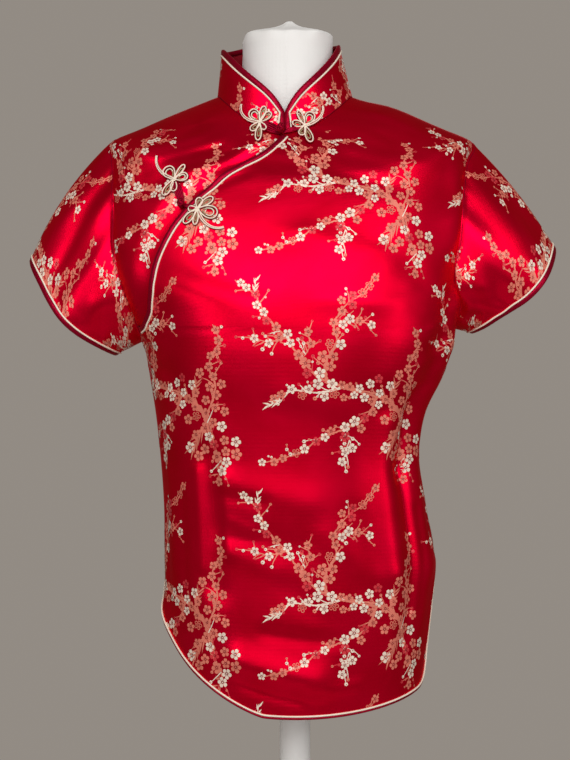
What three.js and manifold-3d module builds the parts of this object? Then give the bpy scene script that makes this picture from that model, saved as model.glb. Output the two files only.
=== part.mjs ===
// Short-sleeved mandarin-collar blouse in piped satin, worn on a limbless dress form with a
// pole and a round base. Millimetres, +Z up, front towards -Y, origin under the pole on the
// floor. "Left" and "right" are the viewer's, facing the front.
//
// The torso is one ring surface: an angle round the body (0 at centre front, +90 at the right
// side, 180 at centre back) and a level, which is the height of the ring at the sides. Every
// panel is a patch of that surface, and all trim is built from the panels' own edge points.

import * as THREE from 'three';
import Module from 'manifold-3d';

const wasm = await Module();
wasm.setup();

// ---------------------------------------------------------------- driving dimensions

const WALL = 1.6; // satin with its turnings and interfacing
const SEAM = 0.3; // between pieces that are sewn together
const HALF_TURN = 180;

const BINDING = { width: 5, thick: 1, lift: 0.55 };
const PIPING = { radius: 1.4, sides: 5, gap: 0.4 };

// Rings of the torso, bottom to top. `left`, `right`, `front` and `back` are reaches, the first
// two from `cx`, and `cy` is where the ring is widest. `dipF` and `dipB` lower or raise it at
// centre front and back, and `round` is the superellipse power.
const TORSO = [
  { level: 545, left: 140, right: 137, front: 110, back: 104, cx: 0, cy: 0, dipF: -20, dipB: -6, round: 2.3 },
  { level: 600, left: 139, right: 139, front: 110, back: 106, cx: 0, cy: 0, dipF: -20, dipB: -6, round: 2.3 },
  { level: 655, left: 138, right: 145, front: 110, back: 106, cx: 0, cy: 0, dipF: -12, dipB: -4, round: 2.3 },
  { level: 697, left: 139, right: 149, front: 110, back: 104, cx: 0, cy: 0, dipF: -6, dipB: -2, round: 2.3 },
  { level: 762, left: 140, right: 139, front: 112, back: 98, cx: 0, cy: 0, dipF: 0, dipB: 0, round: 2.3 },
  { level: 816, left: 144, right: 132, front: 114, back: 91, cx: 0, cy: 0, dipF: 0, dipB: 0, round: 2.3 },
  { level: 860, left: 149, right: 139, front: 118, back: 89, cx: 0, cy: 0, dipF: 0, dipB: 0, round: 2.3 },
  { level: 903, left: 156, right: 160, front: 124, back: 93, cx: 0, cy: 0, dipF: 0, dipB: 0, round: 2.3 },
  { level: 930, left: 161, right: 168, front: 127, back: 96, cx: 0, cy: 0, dipF: 0, dipB: 0, round: 2.3 },
  { level: 960, left: 173, right: 173, front: 127, back: 99, cx: 0, cy: 2, dipF: -8, dipB: 0, round: 2.3 },
  { level: 1000, left: 190, right: 178, front: 125, back: 102, cx: -2, cy: 4, dipF: -20, dipB: 0, round: 2.3 },
  { level: 1040, left: 200, right: 184, front: 119, back: 103, cx: -3, cy: 6, dipF: -32, dipB: 0, round: 2.25 },
  { level: 1080, left: 202, right: 190, front: 110, back: 101, cx: -4, cy: 8, dipF: -42, dipB: 2, round: 2.2 },
  { level: 1110, left: 200, right: 193, front: 102, back: 97, cx: -4, cy: 8, dipF: -48, dipB: 5, round: 2.15 },
  { level: 1130, left: 196, right: 194, front: 96, back: 93, cx: -4, cy: 8, dipF: -51, dipB: 7, round: 2.1 },
  { level: 1150, left: 192, right: 193, front: 89, back: 88, cx: -4, cy: 8, dipF: -52, dipB: 8, round: 2.05 },
  { level: 1162, left: 163, right: 166, front: 83, back: 84, cx: -5, cy: 8, dipF: -52, dipB: 9, round: 2.05 },
  { level: 1178, left: 124, right: 124, front: 76, back: 78, cx: -7, cy: 7, dipF: -52, dipB: 10, round: 2.05 },
  { level: 1190, left: 91, right: 90, front: 68, back: 72, cx: -10, cy: 6, dipF: -51, dipB: 11, round: 2.05 },
  { level: 1197, left: 72, right: 72, front: 62, back: 68, cx: -11, cy: 5, dipF: -50, dipB: 12, round: 2.05 },
];
const NECKLINE = 1197;

// Largest folds, as soft ridges (height > 0) and troughs. Each runs from (angle, level) to
// (angle2, level2) and fades over `width` mm to both sides.
const FOLDS = [
  { angle: 62, level: 1020, angle2: 52, level2: 800, width: 15, height: -4 },
  { angle: 50, level: 800, angle2: 50, level2: 640, width: 14, height: -4 },
  { angle: 68, level: 980, angle2: 66, level2: 700, width: 16, height: 3 },
  { angle: -36, level: 815, angle2: -34, level2: 690, width: 13, height: -3 },
  { angle: -70, level: 925, angle2: -50, level2: 890, width: 14, height: -3 },
  { angle: -75, level: 650, angle2: -70, level2: 610, width: 20, height: 4 },
  { angle: -22, level: 625, angle2: 8, level2: 612, width: 14, height: 4 },
  { angle: -30, level: 790, angle2: 5, level2: 770, width: 16, height: 2.5 },
  { angle: -30, level: 745, angle2: 0, level2: 728, width: 14, height: -2.5 },
  { angle: 60, level: 1120, angle2: 66, level2: 1010, width: 14, height: 3 },
  { angle: -26, level: 1165, angle2: -48, level2: 1110, width: 12, height: -2.5 },
  { angle: 90, level: 1184, angle2: 60, level2: 1180, width: 12, height: 3.5 },
  { angle: 150, level: 860, angle2: 140, level2: 660, width: 16, height: -4 },
  { angle: 205, level: 900, angle2: 215, level2: 640, width: 18, height: -4 },
  { angle: 180, level: 840, angle2: 178, level2: 620, width: 20, height: 3 },
  { angle: 165, level: 860, angle2: 200, level2: 845, width: 14, height: -3.5 },
  { angle: 150, level: 960, angle2: 125, level2: 930, width: 15, height: -3 },
  { angle: 212, level: 965, angle2: 238, level2: 935, width: 15, height: -3 },
  { angle: 180, level: 1120, angle2: 180, level2: 960, width: 22, height: -2 },
];
const FOLD_MM_PER_DEGREE = 2.3; // mean arc of the torso, to measure a fold across and along

// Armholes: superellipses between an armpit and a shoulder tip, opening towards front and back.
const ARMHOLE = {
  left: { side: -1, low: 935, high: 1150, front: 28, back: 34 },
  right: { side: 1, low: 948, high: 1150, front: 28, back: 34 },
};
const ARMHOLE_POWER = 2.2;

// Slits and hem corners: from `top` the edge recedes by `recede` degrees down to `start`, then
// rounds by `sweep` degrees into the hem.
const FRONT_HEM = 576;
const BACK_HEM = 590;
const SLITS = {
  frontLeft: { top: 674, start: 674, bottom: FRONT_HEM, recede: 0, sweep: 77, power: 1.2 },
  frontRight: { top: 699, start: 640, bottom: FRONT_HEM, recede: 8, sweep: 22, power: 2.5 },
  backLeft: { top: 674, start: 674, bottom: BACK_HEM, recede: 0, sweep: 77, power: 1.2 },
  backRight: { top: 699, start: 650, bottom: BACK_HEM, recede: 6, sweep: 40, power: 1.8 },
};

// Levels of the panels' rows: `rows` steps in each band, drawn together at one end by `ease`.
// Below the first band the rows follow the hem, the lowest pair `EDGE_BAND` apart.
const ROW_BANDS = [
  { from: 762, to: 935, rows: 5, ease: 1, towards: 'from' },
  { from: 935, to: 948, rows: 2, ease: 1, towards: 'from' },
  { from: 948, to: 1000, rows: 4, ease: 1.6, towards: 'from' },
  { from: 1000, to: 1115, rows: 4, ease: 1, towards: 'from' },
  { from: 1115, to: 1150, rows: 3, ease: 1.6, towards: 'to' },
  { from: 1150, to: NECKLINE, rows: 4, ease: 1, towards: 'from' },
];
const HEM_ROWS = 5;
const EDGE_BAND = 8.6;
const FRONT_COLUMNS = 17;
const BACK_COLUMNS = 15;
const COLUMN_BUNCH = 0.6; // columns lie closer together towards the side seams

// Slanting opening: the edge of the front, from the armpit to the middle of the neckline.
const OPENING = [
  { level: 935, angle: -90 },
  { level: 941.5, angle: -78.5 },
  { level: 948, angle: -66 },
  { level: 952, angle: -60.5 },
  { level: 966, angle: -54 },
  { level: 989, angle: -48.5 },
  { level: 1008, angle: -45.2 },
  { level: 1029, angle: -42.2 },
  { level: 1049, angle: -39.2 },
  { level: 1076, angle: -35.2 },
  { level: 1108, angle: -29.6 },
  { level: 1135, angle: -23.6 },
  { level: 1161, angle: -16.5 },
  { level: 1184, angle: -7.6 },
  { level: 1197, angle: 0 },
];
const OPENING_TRIM_FOOT = 946; // its trim ends here, in the fold under the arm
// The under front sinks below the front over `ramp` degrees and reaches `tuck` beyond its edge.
// Below `whole` all of it sinks by `deep`, where the opening meets the armpit.
const UNDER = { sink: 3.2, deep: 5, ramp: 8, lead: 1.5, tuck: 8, seen: 7, hidden: 2, whole: 950 };

const COLLAR = {
  lift: 1.3, // above the neckline edge
  gape: 0.7, // degrees from centre front to each end
  front: 18, rise: 31, spread: 11, backRise: 4, // height at the ends, its rise, and at the back
  // it stands taller still from its right side, over degrees, to where that falls off at its left
  tall: { height: 8, from: 50, over: 60, to: 272, fall: 80 },
  lean: { left: 5, right: 14, front: 6, back: 6 }, // inwards at the top edge
  columns: 34, rows: 3, bunch: 0.6,
};

// Sleeves: the cuff runs from an upper to a lower corner; `arch` lifts the sleeve head.
const SLEEVES = {
  left: { upper: [-284, 1021], lower: [-195, 920], middleY: 2, depth: 47, belly: 14, arch: 18, swell: 15 },
  right: { upper: [279, 1034], lower: [193, 944], middleY: 2, depth: 47, belly: 14, arch: 10, swell: 15 },
};
const SLEEVE_FOLDS = [
  { sleeve: 'left', around: 60, width: 24, height: -5 },
  { sleeve: 'left', around: 105, width: 22, height: 3 },
  { sleeve: 'left', around: 250, width: 26, height: -4 },
  { sleeve: 'right', around: 75, width: 24, height: 4 },
  { sleeve: 'right', around: 120, width: 22, height: -4 },
  { sleeve: 'right', around: 265, width: 26, height: -4 },
];
const SLEEVE_ROWS = 6;

// Frogs lie in front of the cloth: a centre (x, z) and loops by direction (degrees from +X
// towards +Z), length and width. A loop under SLIM wide is closed up like a leaf.
const SLIM = 7;
const FROG = { cord: 1.5, height: 1.1, clearance: 0.35, heart: 4.2, heartHeight: 1.6, steps: 8 };
const FROGS = [
  {
    name: 'frog_collar_left', x: -36.5, z: 1158,
    loops: [
      { turn: 125, length: 15, width: 8 }, { turn: 73, length: 17, width: 5 },
      { turn: 40, length: 14, width: 5 }, { turn: 227, length: 13, width: 6 },
      { turn: 265, length: 21, width: 6 }, { turn: 304, length: 10, width: 5 },
      { turn: 2, length: 17, width: 5 },
    ],
    tail: { turn: 168, length: 30, curl: -110 },
  },
  {
    name: 'frog_collar_right', x: 9.5, z: 1154,
    loops: [
      { turn: 165, length: 12, width: 5 }, { turn: 115, length: 17, width: 6 },
      { turn: 61, length: 15, width: 8 }, { turn: 248, length: 12, width: 5 },
      { turn: 288, length: 20, width: 6 }, { turn: 321, length: 13, width: 5 },
      { turn: 203, length: 15, width: 4 },
    ],
    tail: { turn: 20, length: 28, curl: 80 },
  },
  {
    name: 'frog_chest_upper', x: -123, z: 1096,
    loops: [
      { turn: 126, length: 15, width: 10 }, { turn: 56, length: 18, width: 5 },
      { turn: 14, length: 14, width: 8 }, { turn: 237, length: 20, width: 6 },
      { turn: 275, length: 12, width: 6 }, { turn: 300, length: 17, width: 4 },
    ],
    tail: { turn: 150, length: 30, curl: -60 },
  },
  {
    name: 'frog_chest_lower', x: -98.5, z: 1064,
    loops: [
      { turn: 76, length: 10, width: 5 }, { turn: 36, length: 19, width: 6 },
      { turn: 342, length: 21, width: 11 }, { turn: 225, length: 20, width: 6 },
      { turn: 262, length: 17, width: 6 }, { turn: 185, length: 9, width: 5 },
    ],
    tail: { turn: 285, length: 30, curl: 75 },
  },
];
const KNOT_RADIUS = 5;
const KNOTS = [
  { name: 'knot_collar', x: -14, z: 1146 },
  { name: 'knot_chest', x: -113.5, z: 1068 },
];

// Dress form: it carries the cloth along the shoulder seams and stays clear of it elsewhere.
const FORM = { bottom: 658, level: 762, inset: 10, shoulderInset: 1.75, round: 8, columns: 24 };
const NECK = [
  { level: 1203, radius: 55, depth: 52, dip: -42 },
  { level: 1222, radius: 50, depth: 50, dip: -22 },
  { level: 1245, radius: 48.5, depth: 49, dip: -5 },
  { level: 1260, radius: 48, depth: 48, dip: -6 },
  { level: 1265, radius: 44, depth: 44, dip: -6 },
  { level: 1268, radius: 33, depth: 33, dip: -5 },
  { level: 1271, radius: 20, depth: 20, dip: -3 },
  { level: 1275, radius: 9, depth: 9, dip: -1 },
];
const NECK_CENTRE = { x: -8, y: 3 };
const NECK_PEAK = { x: -6, y: 1, z: 1282 };
const POLE = { radius: 16.5, sides: 24 };
const BASE = { radius: 165, edge: 8, crown: 15, collarRadius: 30, sides: 48 };

// ---------------------------------------------------------------- materials

function finish(color, roughness, metalness = 0) {
  return new THREE.MeshStandardMaterial({ color, roughness, metalness });
}
const satin = () => finish(0xb8051f, 0.35);
const bindingSatin = () => finish(0x8c0418, 0.45);
const pipingSatin = () => finish(0xf3e2c4, 0.5);
const jersey = () => finish(0xeeeceb, 0.9);
const painted = () => finish(0xe9e8e6, 0.5);

// ---------------------------------------------------------------- solids

// Collects a closed body's vertices and faces and turns them outwards.
class Body {
  constructor() {
    this.points = [];
    this.faces = [];
  }

  add(point) {
    this.points.push(point);
    return this.points.length - 1;
  }

  triangle(a, b, c) {
    this.faces.push([a, b, c]);
  }

  quad(a, b, c, d, other = false) {
    if (other) {
      this.triangle(a, b, d);
      this.triangle(b, c, d);
    } else {
      this.triangle(a, b, c);
      this.triangle(a, c, d);
    }
  }

  fan(ring) {
    for (let i = 1; i + 1 < ring.length; i++) this.triangle(ring[0], ring[i], ring[i + 1]);
  }

  volume() {
    let sum = 0;
    for (const [a, b, c] of this.faces) {
      sum += this.points[a].dot(this.points[b].clone().cross(this.points[c]));
    }
    return sum / 6;
  }

  index() {
    const outward = this.volume() > 0;
    return this.faces.flatMap(([a, b, c]) => (outward ? [a, b, c] : [a, c, b]));
  }

  positions() {
    return this.points.flatMap((p) => [p.x, p.y, p.z]);
  }

  geometry() {
    const geometry = new THREE.BufferGeometry();
    geometry.setAttribute('position', new THREE.Float32BufferAttribute(this.positions(), 3));
    geometry.setIndex(this.index());
    geometry.computeVertexNormals();
    return geometry;
  }

  manifold() {
    const vertProperties = new Float32Array(this.positions());
    const triVerts = new Uint32Array(this.index());
    return new wasm.Manifold(new wasm.Mesh({ numProp: 3, vertProperties, triVerts }));
  }
}

// A wall of cloth through a grid of stations { p, n }, half its thickness to each side. Cells
// are split along their shorter diagonal, or along the lower one where they carry trim.
function shell(rows, closed = false, carriesTrim = () => false) {
  const body = new Body();
  const count = rows[0].length;
  const face = (half) => rows.map((row) => row.map(({ p, n }) => (
    body.add(p.clone().addScaledVector(n, half)))));
  const outer = face(WALL / 2);
  const inner = face(-WALL / 2);
  const at = (r, c) => rows[r][c].p;
  const last = rows.length - 1;
  const spans = closed ? count : count - 1;
  for (let r = 0; r < last; r++) {
    for (let c = 0; c < spans; c++) {
      const d = (c + 1) % count;
      const ends = [[at(r, c), at(r + 1, d)], [at(r, d), at(r + 1, c)]];
      const [first, second] = ends.map(([a, b]) => (
        carriesTrim(r, c) ? a.clone().add(b).dot(rows[r][c].n) : a.distanceTo(b)));
      const other = first > second;
      body.quad(outer[r][c], outer[r][d], outer[r + 1][d], outer[r + 1][c], other);
      body.quad(inner[r + 1][c], inner[r + 1][d], inner[r][d], inner[r][c], other);
    }
  }
  for (let c = 0; c < spans; c++) {
    const d = (c + 1) % count;
    body.quad(inner[0][c], inner[0][d], outer[0][d], outer[0][c]);
    body.quad(outer[last][c], outer[last][d], inner[last][d], inner[last][c]);
  }
  if (!closed) {
    const e = count - 1;
    for (let r = 0; r < last; r++) {
      body.quad(inner[r + 1][0], inner[r][0], outer[r][0], outer[r + 1][0]);
      body.quad(outer[r + 1][e], outer[r][e], inner[r][e], inner[r + 1][e]);
    }
  }
  return body;
}

// A solid through a list of sections with equal counts of points.
function sweep(sections, closed = false) {
  const body = new Body();
  const rings = sections.map((section) => section.map((p) => body.add(p)));
  const count = rings[0].length;
  const spans = closed ? rings.length : rings.length - 1;
  for (let i = 0; i < spans; i++) {
    const here = rings[i];
    const next = rings[(i + 1) % rings.length];
    for (let j = 0; j < count; j++) {
      const k = (j + 1) % count;
      body.quad(here[j], here[k], next[k], next[j]);
    }
  }
  if (!closed) {
    body.fan([...rings[0]].reverse());
    body.fan(rings[rings.length - 1]);
  }
  return body;
}

const group = new THREE.Group();
function place(name, body, material) {
  const geometry = body instanceof THREE.BufferGeometry ? body : body.geometry();
  const mesh = new THREE.Mesh(geometry, material);
  mesh.name = name;
  group.add(mesh);
  return body;
}

// ---------------------------------------------------------------- torso surface

const radians = THREE.MathUtils.degToRad;
const { lerp, clamp } = THREE.MathUtils;
const ease = (t) => THREE.MathUtils.smoothstep(t, 0, 1);

// Smooth table lookup: a cubic through the rows, with the mean slope at each.
function lookup(table, key, at) {
  let i = 0;
  while (i < table.length - 2 && at >= table[i + 1][key]) i++;
  const slope = (row, name) => {
    const low = table[Math.max(row - 1, 0)];
    const mid = table[row];
    const high = table[Math.min(row + 1, table.length - 1)];
    const below = mid[key] - low[key];
    const above = high[key] - mid[key];
    if (!below) return (high[name] - mid[name]) / above;
    if (!above) return (mid[name] - low[name]) / below;
    const down = (mid[name] - low[name]) / below;
    const up = (high[name] - mid[name]) / above;
    return (down * above + up * below) / (above + below);
  };
  const from = table[i];
  const to = table[i + 1];
  const span = to[key] - from[key];
  const t = clamp((at - from[key]) / span, 0, 1);
  const result = {};
  for (const name of Object.keys(from)) {
    if (name === key) continue;
    result[name] = (2 * t ** 3 - 3 * t ** 2 + 1) * from[name]
      + (t ** 3 - 2 * t ** 2 + t) * span * slope(i, name)
      + (3 * t ** 2 - 2 * t ** 3) * to[name]
      + (t ** 3 - t ** 2) * span * slope(i + 1, name);
  }
  return result;
}

function ringPoint(ring, level, angle) {
  const s = Math.sin(radians(angle));
  const c = Math.cos(radians(angle));
  const k = (Math.abs(s) ** ring.round + Math.abs(c) ** ring.round) ** (-1 / ring.round);
  const across = s < 0 ? ring.left : ring.right;
  const along = c > 0 ? ring.front + ring.cy : ring.back - ring.cy;
  const dip = (c > 0 ? ring.dipF : ring.dipB) * c * c;
  return new THREE.Vector3(ring.cx + across * s * k, ring.cy - along * c * k, level + dip);
}

function torsoPoint(angle, level) {
  return ringPoint(lookup(TORSO, 'level', level), level, angle);
}

// Outward normal of any surface given as a function of angle and height.
const PROBE = { angle: 0.5, level: 0.5 };
function normalOf(surface, angle, level) {
  const around = surface(angle + PROBE.angle, level).sub(surface(angle - PROBE.angle, level));
  const up = surface(angle, level + PROBE.level).sub(surface(angle, level - PROBE.level));
  return around.cross(up).normalize();
}

function foldHeight(angle, level) {
  let height = 0;
  for (const fold of FOLDS) {
    const turn = fold.angle > 110 && angle < 0 ? angle + 2 * HALF_TURN : angle;
    const x = (turn - fold.angle) * FOLD_MM_PER_DEGREE;
    const dx = (fold.angle2 - fold.angle) * FOLD_MM_PER_DEGREE;
    const z = level - fold.level;
    const dz = fold.level2 - fold.level;
    const length2 = dx * dx + dz * dz;
    const t = clamp((x * dx + z * dz) / length2, 0, 1);
    const away = Math.hypot(x - dx * t, z - dz * t);
    height += fold.height * Math.exp(-((away / fold.width) ** 2));
  }
  // folds fade out at the neckline, where the collar holds the cloth
  return height * ease((NECKLINE - level) / 14);
}

function foldedPoint(angle, level) {
  const normal = normalOf(torsoPoint, angle, level);
  return torsoPoint(angle, level).addScaledVector(normal, foldHeight(angle, level));
}

function station(angle, level, sink = 0) {
  const n = normalOf(foldedPoint, angle, level);
  return { p: foldedPoint(angle, level).addScaledVector(n, -sink), n };
}

// ---------------------------------------------------------------- edges of the panels

function armholeReach(hole, level) {
  const half = (hole.high - hole.low) / 2;
  const t = Math.abs((level - hole.low - half) / half);
  return t >= 1 ? 0 : (1 - t ** ARMHOLE_POWER) ** (1 / ARMHOLE_POWER);
}

// Level of the hem or slit edge, `away` degrees from the side line.
function edgeLevel(slit, away) {
  if (away < slit.recede) return lerp(slit.top, slit.start, away / slit.recede);
  const u = clamp((away - slit.recede) / slit.sweep, 0, 1);
  const t = (1 - (1 - u) ** slit.power) ** (1 / slit.power);
  return lerp(slit.start, slit.bottom, t);
}

// Degrees by which a panel stops short of the side line at a level.
const SEAM_ANGLE = 0.06;
const shortfall = (hole, reach, level) => Math.max(reach * armholeReach(hole, level), SEAM_ANGLE);

function openingAngle(level) {
  let i = 0;
  while (i < OPENING.length - 2 && level >= OPENING[i + 1].level) i++;
  const from = OPENING[i];
  const to = OPENING[i + 1];
  return lerp(from.angle, to.angle, clamp((level - from.level) / (to.level - from.level), 0, 1));
}

function bandLevels(bands) {
  const levels = [bands[0].from];
  for (const { from, to, rows, ease: power, towards } of bands) {
    for (let i = 1; i <= rows; i++) {
      const t = i / rows;
      const eased = towards === 'from' ? t ** power : 1 - (1 - t) ** power;
      levels.push(lerp(from, to, eased));
    }
  }
  return levels;
}
const upperLevels = bandLevels(ROW_BANDS);

const span = (from, to, count) => (
  Array.from({ length: count + 1 }, (_, i) => lerp(from, to, i / count)));

// Fractions from 0 to 1, closer together at both ends.
const bunched = (count, amount) => span(0, 1, count).map((t) => (
  t - (amount * Math.sin(2 * Math.PI * t)) / (2 * Math.PI)));

// Rows below the first band: they follow the hem, and the lowest pair holds the trim.
function hemRows(angles, hemAt) {
  const top = ROW_BANDS[0].from;
  const columns = angles.map((angle) => {
    const foot = hemAt(angle);
    const slope = (hemAt(angle + 1) - hemAt(angle - 1)) / (2 * FOLD_MM_PER_DEGREE);
    const first = Math.min(EDGE_BAND * Math.hypot(1, slope), (top - foot) * 0.45);
    const levels = [foot, ...span(foot + first, top, HEM_ROWS - 1)];
    return levels.slice(0, HEM_ROWS).map((level) => station(angle, level));
  });
  return Array.from({ length: HEM_ROWS }, (_, r) => columns.map((column) => column[r]));
}

// ---------------------------------------------------------------- body panels

const { left: LEFT, right: RIGHT } = ARMHOLE;

const frontSpread = bunched(FRONT_COLUMNS, COLUMN_BUNCH);
const backSpread = bunched(BACK_COLUMNS, COLUMN_BUNCH);

// Degrees that take the front's second column EDGE_BAND in from the opening's edge.
function openingBand(level) {
  const slant = (openingAngle(level + 2) - openingAngle(level - 2)) / 4;
  return (EDGE_BAND / FOLD_MM_PER_DEGREE) * Math.hypot(1, slant * FOLD_MM_PER_DEGREE);
}

function frontAngles(level) {
  const right = 90 - shortfall(RIGHT, RIGHT.front, level);
  const side = -90 + shortfall(LEFT, LEFT.front, level);
  if (level <= LEFT.low) return frontSpread.map((t) => lerp(side, right, t));
  const left = Math.max(side, openingAngle(level));
  const second = left + Math.min(openingBand(level), (right - left) / 8);
  const first = frontSpread[1];
  return frontSpread.map((t, c) => (c ? lerp(second, right, (t - first) / (1 - first)) : left));
}
const backAngles = (level) => {
  const right = 90 + shortfall(RIGHT, RIGHT.back, level);
  const left = 270 - shortfall(LEFT, LEFT.back, level);
  return backSpread.map((t) => lerp(right, left, t));
};
const rowAt = (angles, level) => angles.map((angle) => station(angle, level));

const { frontLeft, frontRight, backLeft, backRight } = SLITS;
const frontHemAt = (angle) => (angle < 0
  ? edgeLevel(frontLeft, Math.max(angle + 90, 0)) : edgeLevel(frontRight, Math.max(90 - angle, 0)));
const backHemAt = (angle) => (angle > HALF_TURN
  ? edgeLevel(backLeft, Math.max(270 - angle, 0)) : edgeLevel(backRight, Math.max(angle - 90, 0)));

const frontRows = [
  ...hemRows(frontAngles(ROW_BANDS[0].from), frontHemAt),
  ...upperLevels.map((level) => rowAt(frontAngles(level), level)),
];
const backRows = [
  ...hemRows(backAngles(ROW_BANDS[0].from), backHemAt),
  ...upperLevels.map((level) => rowAt(backAngles(level), level)),
];

// The under front shows from the armhole to the opening, then runs on below the front.
function underFrontRow(level) {
  const edge = openingAngle(level);
  const start = -90 + shortfall(LEFT, LEFT.front, level);
  const turned = Math.max(edge - UNDER.lead, start + 0.5);
  const ramp = Math.min(UNDER.ramp, turned - start);
  const seen = span(start, turned, UNDER.seen);
  const hidden = span(turned, turned + UNDER.lead + UNDER.tuck, UNDER.hidden).slice(1);
  return [...seen, ...hidden].map((angle) => {
    const sunk = UNDER.sink * ease(clamp((angle - turned + ramp) / ramp, 0, 1));
    return station(angle, level, level < UNDER.whole ? UNDER.deep : sunk);
  });
}
const underRows = upperLevels.filter((level) => level >= LEFT.low).map(underFrontRow);

const onHem = (r) => r === 0;
const onFrontTrim = (r, c) => r === 0 || (c === 0 && r > HEM_ROWS);
const frontMain = place('front_main', shell(frontRows, false, onFrontTrim), satin());
const frontUnder = place('front_under', shell(underRows), satin());
const back = place('back', shell(backRows, false, onHem), satin());

// ---------------------------------------------------------------- collar

function collarHeight(angle) {
  const away = Math.min(angle, 2 * HALF_TURN - angle);
  const { height, from, over, to, fall } = COLLAR.tall;
  return COLLAR.front + COLLAR.rise * (1 - Math.exp(-away / COLLAR.spread))
    + COLLAR.backRise * (away / HALF_TURN) ** 2
    + height * ease((angle - from) / over) * ease((to - angle) / fall);
}

function collarPoint(angle, t) {
  const turn = radians(angle);
  const { lean } = COLLAR;
  const sideways = Math.sin(turn) > 0 ? lean.right : lean.left;
  const inwards = Math.cos(turn) > 0 ? lean.front : lean.back;
  const point = torsoPoint(angle, NECKLINE);
  point.x -= sideways * Math.sin(turn) * t;
  point.y += inwards * Math.cos(turn) * t;
  point.z += COLLAR.lift + collarHeight(angle) * t;
  return point;
}

const collarAngles = bunched(COLLAR.columns, COLLAR.bunch).map((t) => (
  lerp(COLLAR.gape, 2 * HALF_TURN - COLLAR.gape, t)));
const collarRows = span(0, 1, COLLAR.rows).map((t) => collarAngles.map((angle) => ({
  p: collarPoint(angle, t),
  n: normalOf(collarPoint, clamp(angle, 1, 359), t),
})));
const collar = place('collar', shell(collarRows, false, (r) => r === COLLAR.rows - 1), satin());

// ---------------------------------------------------------------- sleeves

// Stations round an armhole: down its front from the shoulder tip, and up its back.
function armholeLoop(hole) {
  const inside = upperLevels.filter((level) => level > hole.low && level < hole.high);
  const edge = (level, reach) => [hole.side * (90 + reach * armholeReach(hole, level)), level];
  return [
    [hole.side * 90, hole.high],
    ...[...inside].reverse().map((level) => edge(level, -hole.front)),
    [hole.side * 90, hole.low],
    ...inside.map((level) => edge(level, hole.back)),
  ];
}

// How far round each station lies, as an angle: 0 at the top, 180 at the armpit.
function turnsAlong(points, bottom) {
  const steps = points.map((p, i) => p.distanceTo(points[(i + 1) % points.length]));
  const sum = (from, to) => steps.slice(from, to).reduce((a, b) => a + b, 0);
  const front = sum(0, bottom);
  const back = sum(bottom, points.length);
  return points.map((_, i) => (i <= bottom
    ? (HALF_TURN * sum(0, i)) / front
    : HALF_TURN + (HALF_TURN * sum(bottom, i)) / back));
}

function sleeveFold(name, turn, t) {
  let height = 0;
  for (const fold of SLEEVE_FOLDS) {
    if (fold.sleeve !== name) continue;
    height += fold.height * Math.exp(-(((turn - fold.around) / fold.width) ** 2));
  }
  return height * Math.sin(Math.PI * Math.min(t * 0.6, 0.5)) ** 2;
}

function sleeveRows(name) {
  const hole = ARMHOLE[name];
  const { upper, lower, middleY, depth, belly, arch, swell } = SLEEVES[name];
  const loop = armholeLoop(hole);
  const edges = loop.map(([angle, level]) => station(angle, level));
  const bottom = loop.findIndex(([, level]) => level === hole.low);
  const turns = turnsAlong(edges.map(({ p }) => p), bottom);
  const middle = new THREE.Vector3();
  edges.forEach(({ p }) => middle.addScaledVector(p, 1 / edges.length));

  const top = new THREE.Vector3(upper[0], middleY, upper[1]);
  const foot = new THREE.Vector3(lower[0], middleY, lower[1]);
  const centre = top.clone().add(foot).multiplyScalar(0.5);
  const axis = top.clone().sub(foot).multiplyScalar(0.5);
  const out = new THREE.Vector3(hole.side * axis.z, 0, -Math.abs(axis.x)).normalize();
  const cuffPoint = (turn) => {
    const s = Math.sin(radians(turn));
    return centre.clone().addScaledVector(axis, Math.cos(radians(turn)))
      .addScaledVector(new THREE.Vector3(0, -1, 0), depth * s)
      .addScaledVector(out, belly * s * s);
  };
  const headUp = new THREE.Vector3(hole.side * 0.7, 0, 0.7);

  const lines = edges.map(({ p, n }, i) => {
    // the sleeve starts one seam inside the armhole
    const before = edges[(i + edges.length - 1) % edges.length].p;
    const after = edges[(i + 1) % edges.length].p;
    const inward = n.clone().cross(after.clone().sub(before)).normalize();
    if (inward.dot(middle.clone().sub(p)) < 0) inward.negate();
    const start = p.clone().addScaledVector(inward, SEAM + 0.15);
    const end = cuffPoint(turns[i]);
    const s = Math.sin(radians(turns[i]));
    const c = Math.max(Math.cos(radians(turns[i])), 0);
    const control = start.clone().add(end).multiplyScalar(0.5)
      .addScaledVector(headUp, arch * c * c)
      .addScaledVector(new THREE.Vector3(0, -1, 0), swell * s);
    return new THREE.QuadraticBezierCurve3(start, control, end);
  });
  const grid = span(0, 1, SLEEVE_ROWS).map((t) => lines.map((line) => line.getPoint(t)));
  const normalAt = (r, c) => {
    if (r === 0) return edges[c].n;
    const row = grid[r];
    const around = row[(c + 1) % row.length].clone().sub(row[(c + row.length - 1) % row.length]);
    const along = grid[Math.min(r + 1, SLEEVE_ROWS)][c].clone().sub(grid[r - 1][c]);
    const normal = around.cross(along).normalize();
    const axisPoint = centre.clone().lerp(middle, 1 - r / SLEEVE_ROWS);
    return normal.dot(row[c].clone().sub(axisPoint)) < 0 ? normal.negate() : normal;
  };
  return grid.map((row, r) => row.map((p, c) => {
    const n = normalAt(r, c);
    const lift = sleeveFold(name, turns[c], r / SLEEVE_ROWS);
    return { p: p.clone().addScaledVector(n, lift), n };
  }));
}
const leftSleeve = sleeveRows('left');
const rightSleeve = sleeveRows('right');
const sleeveLeft = place('sleeve_left', shell(leftSleeve, true), satin());
const sleeveRight = place('sleeve_right', shell(rightSleeve, true), satin());

// ---------------------------------------------------------------- bindings and piping

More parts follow.
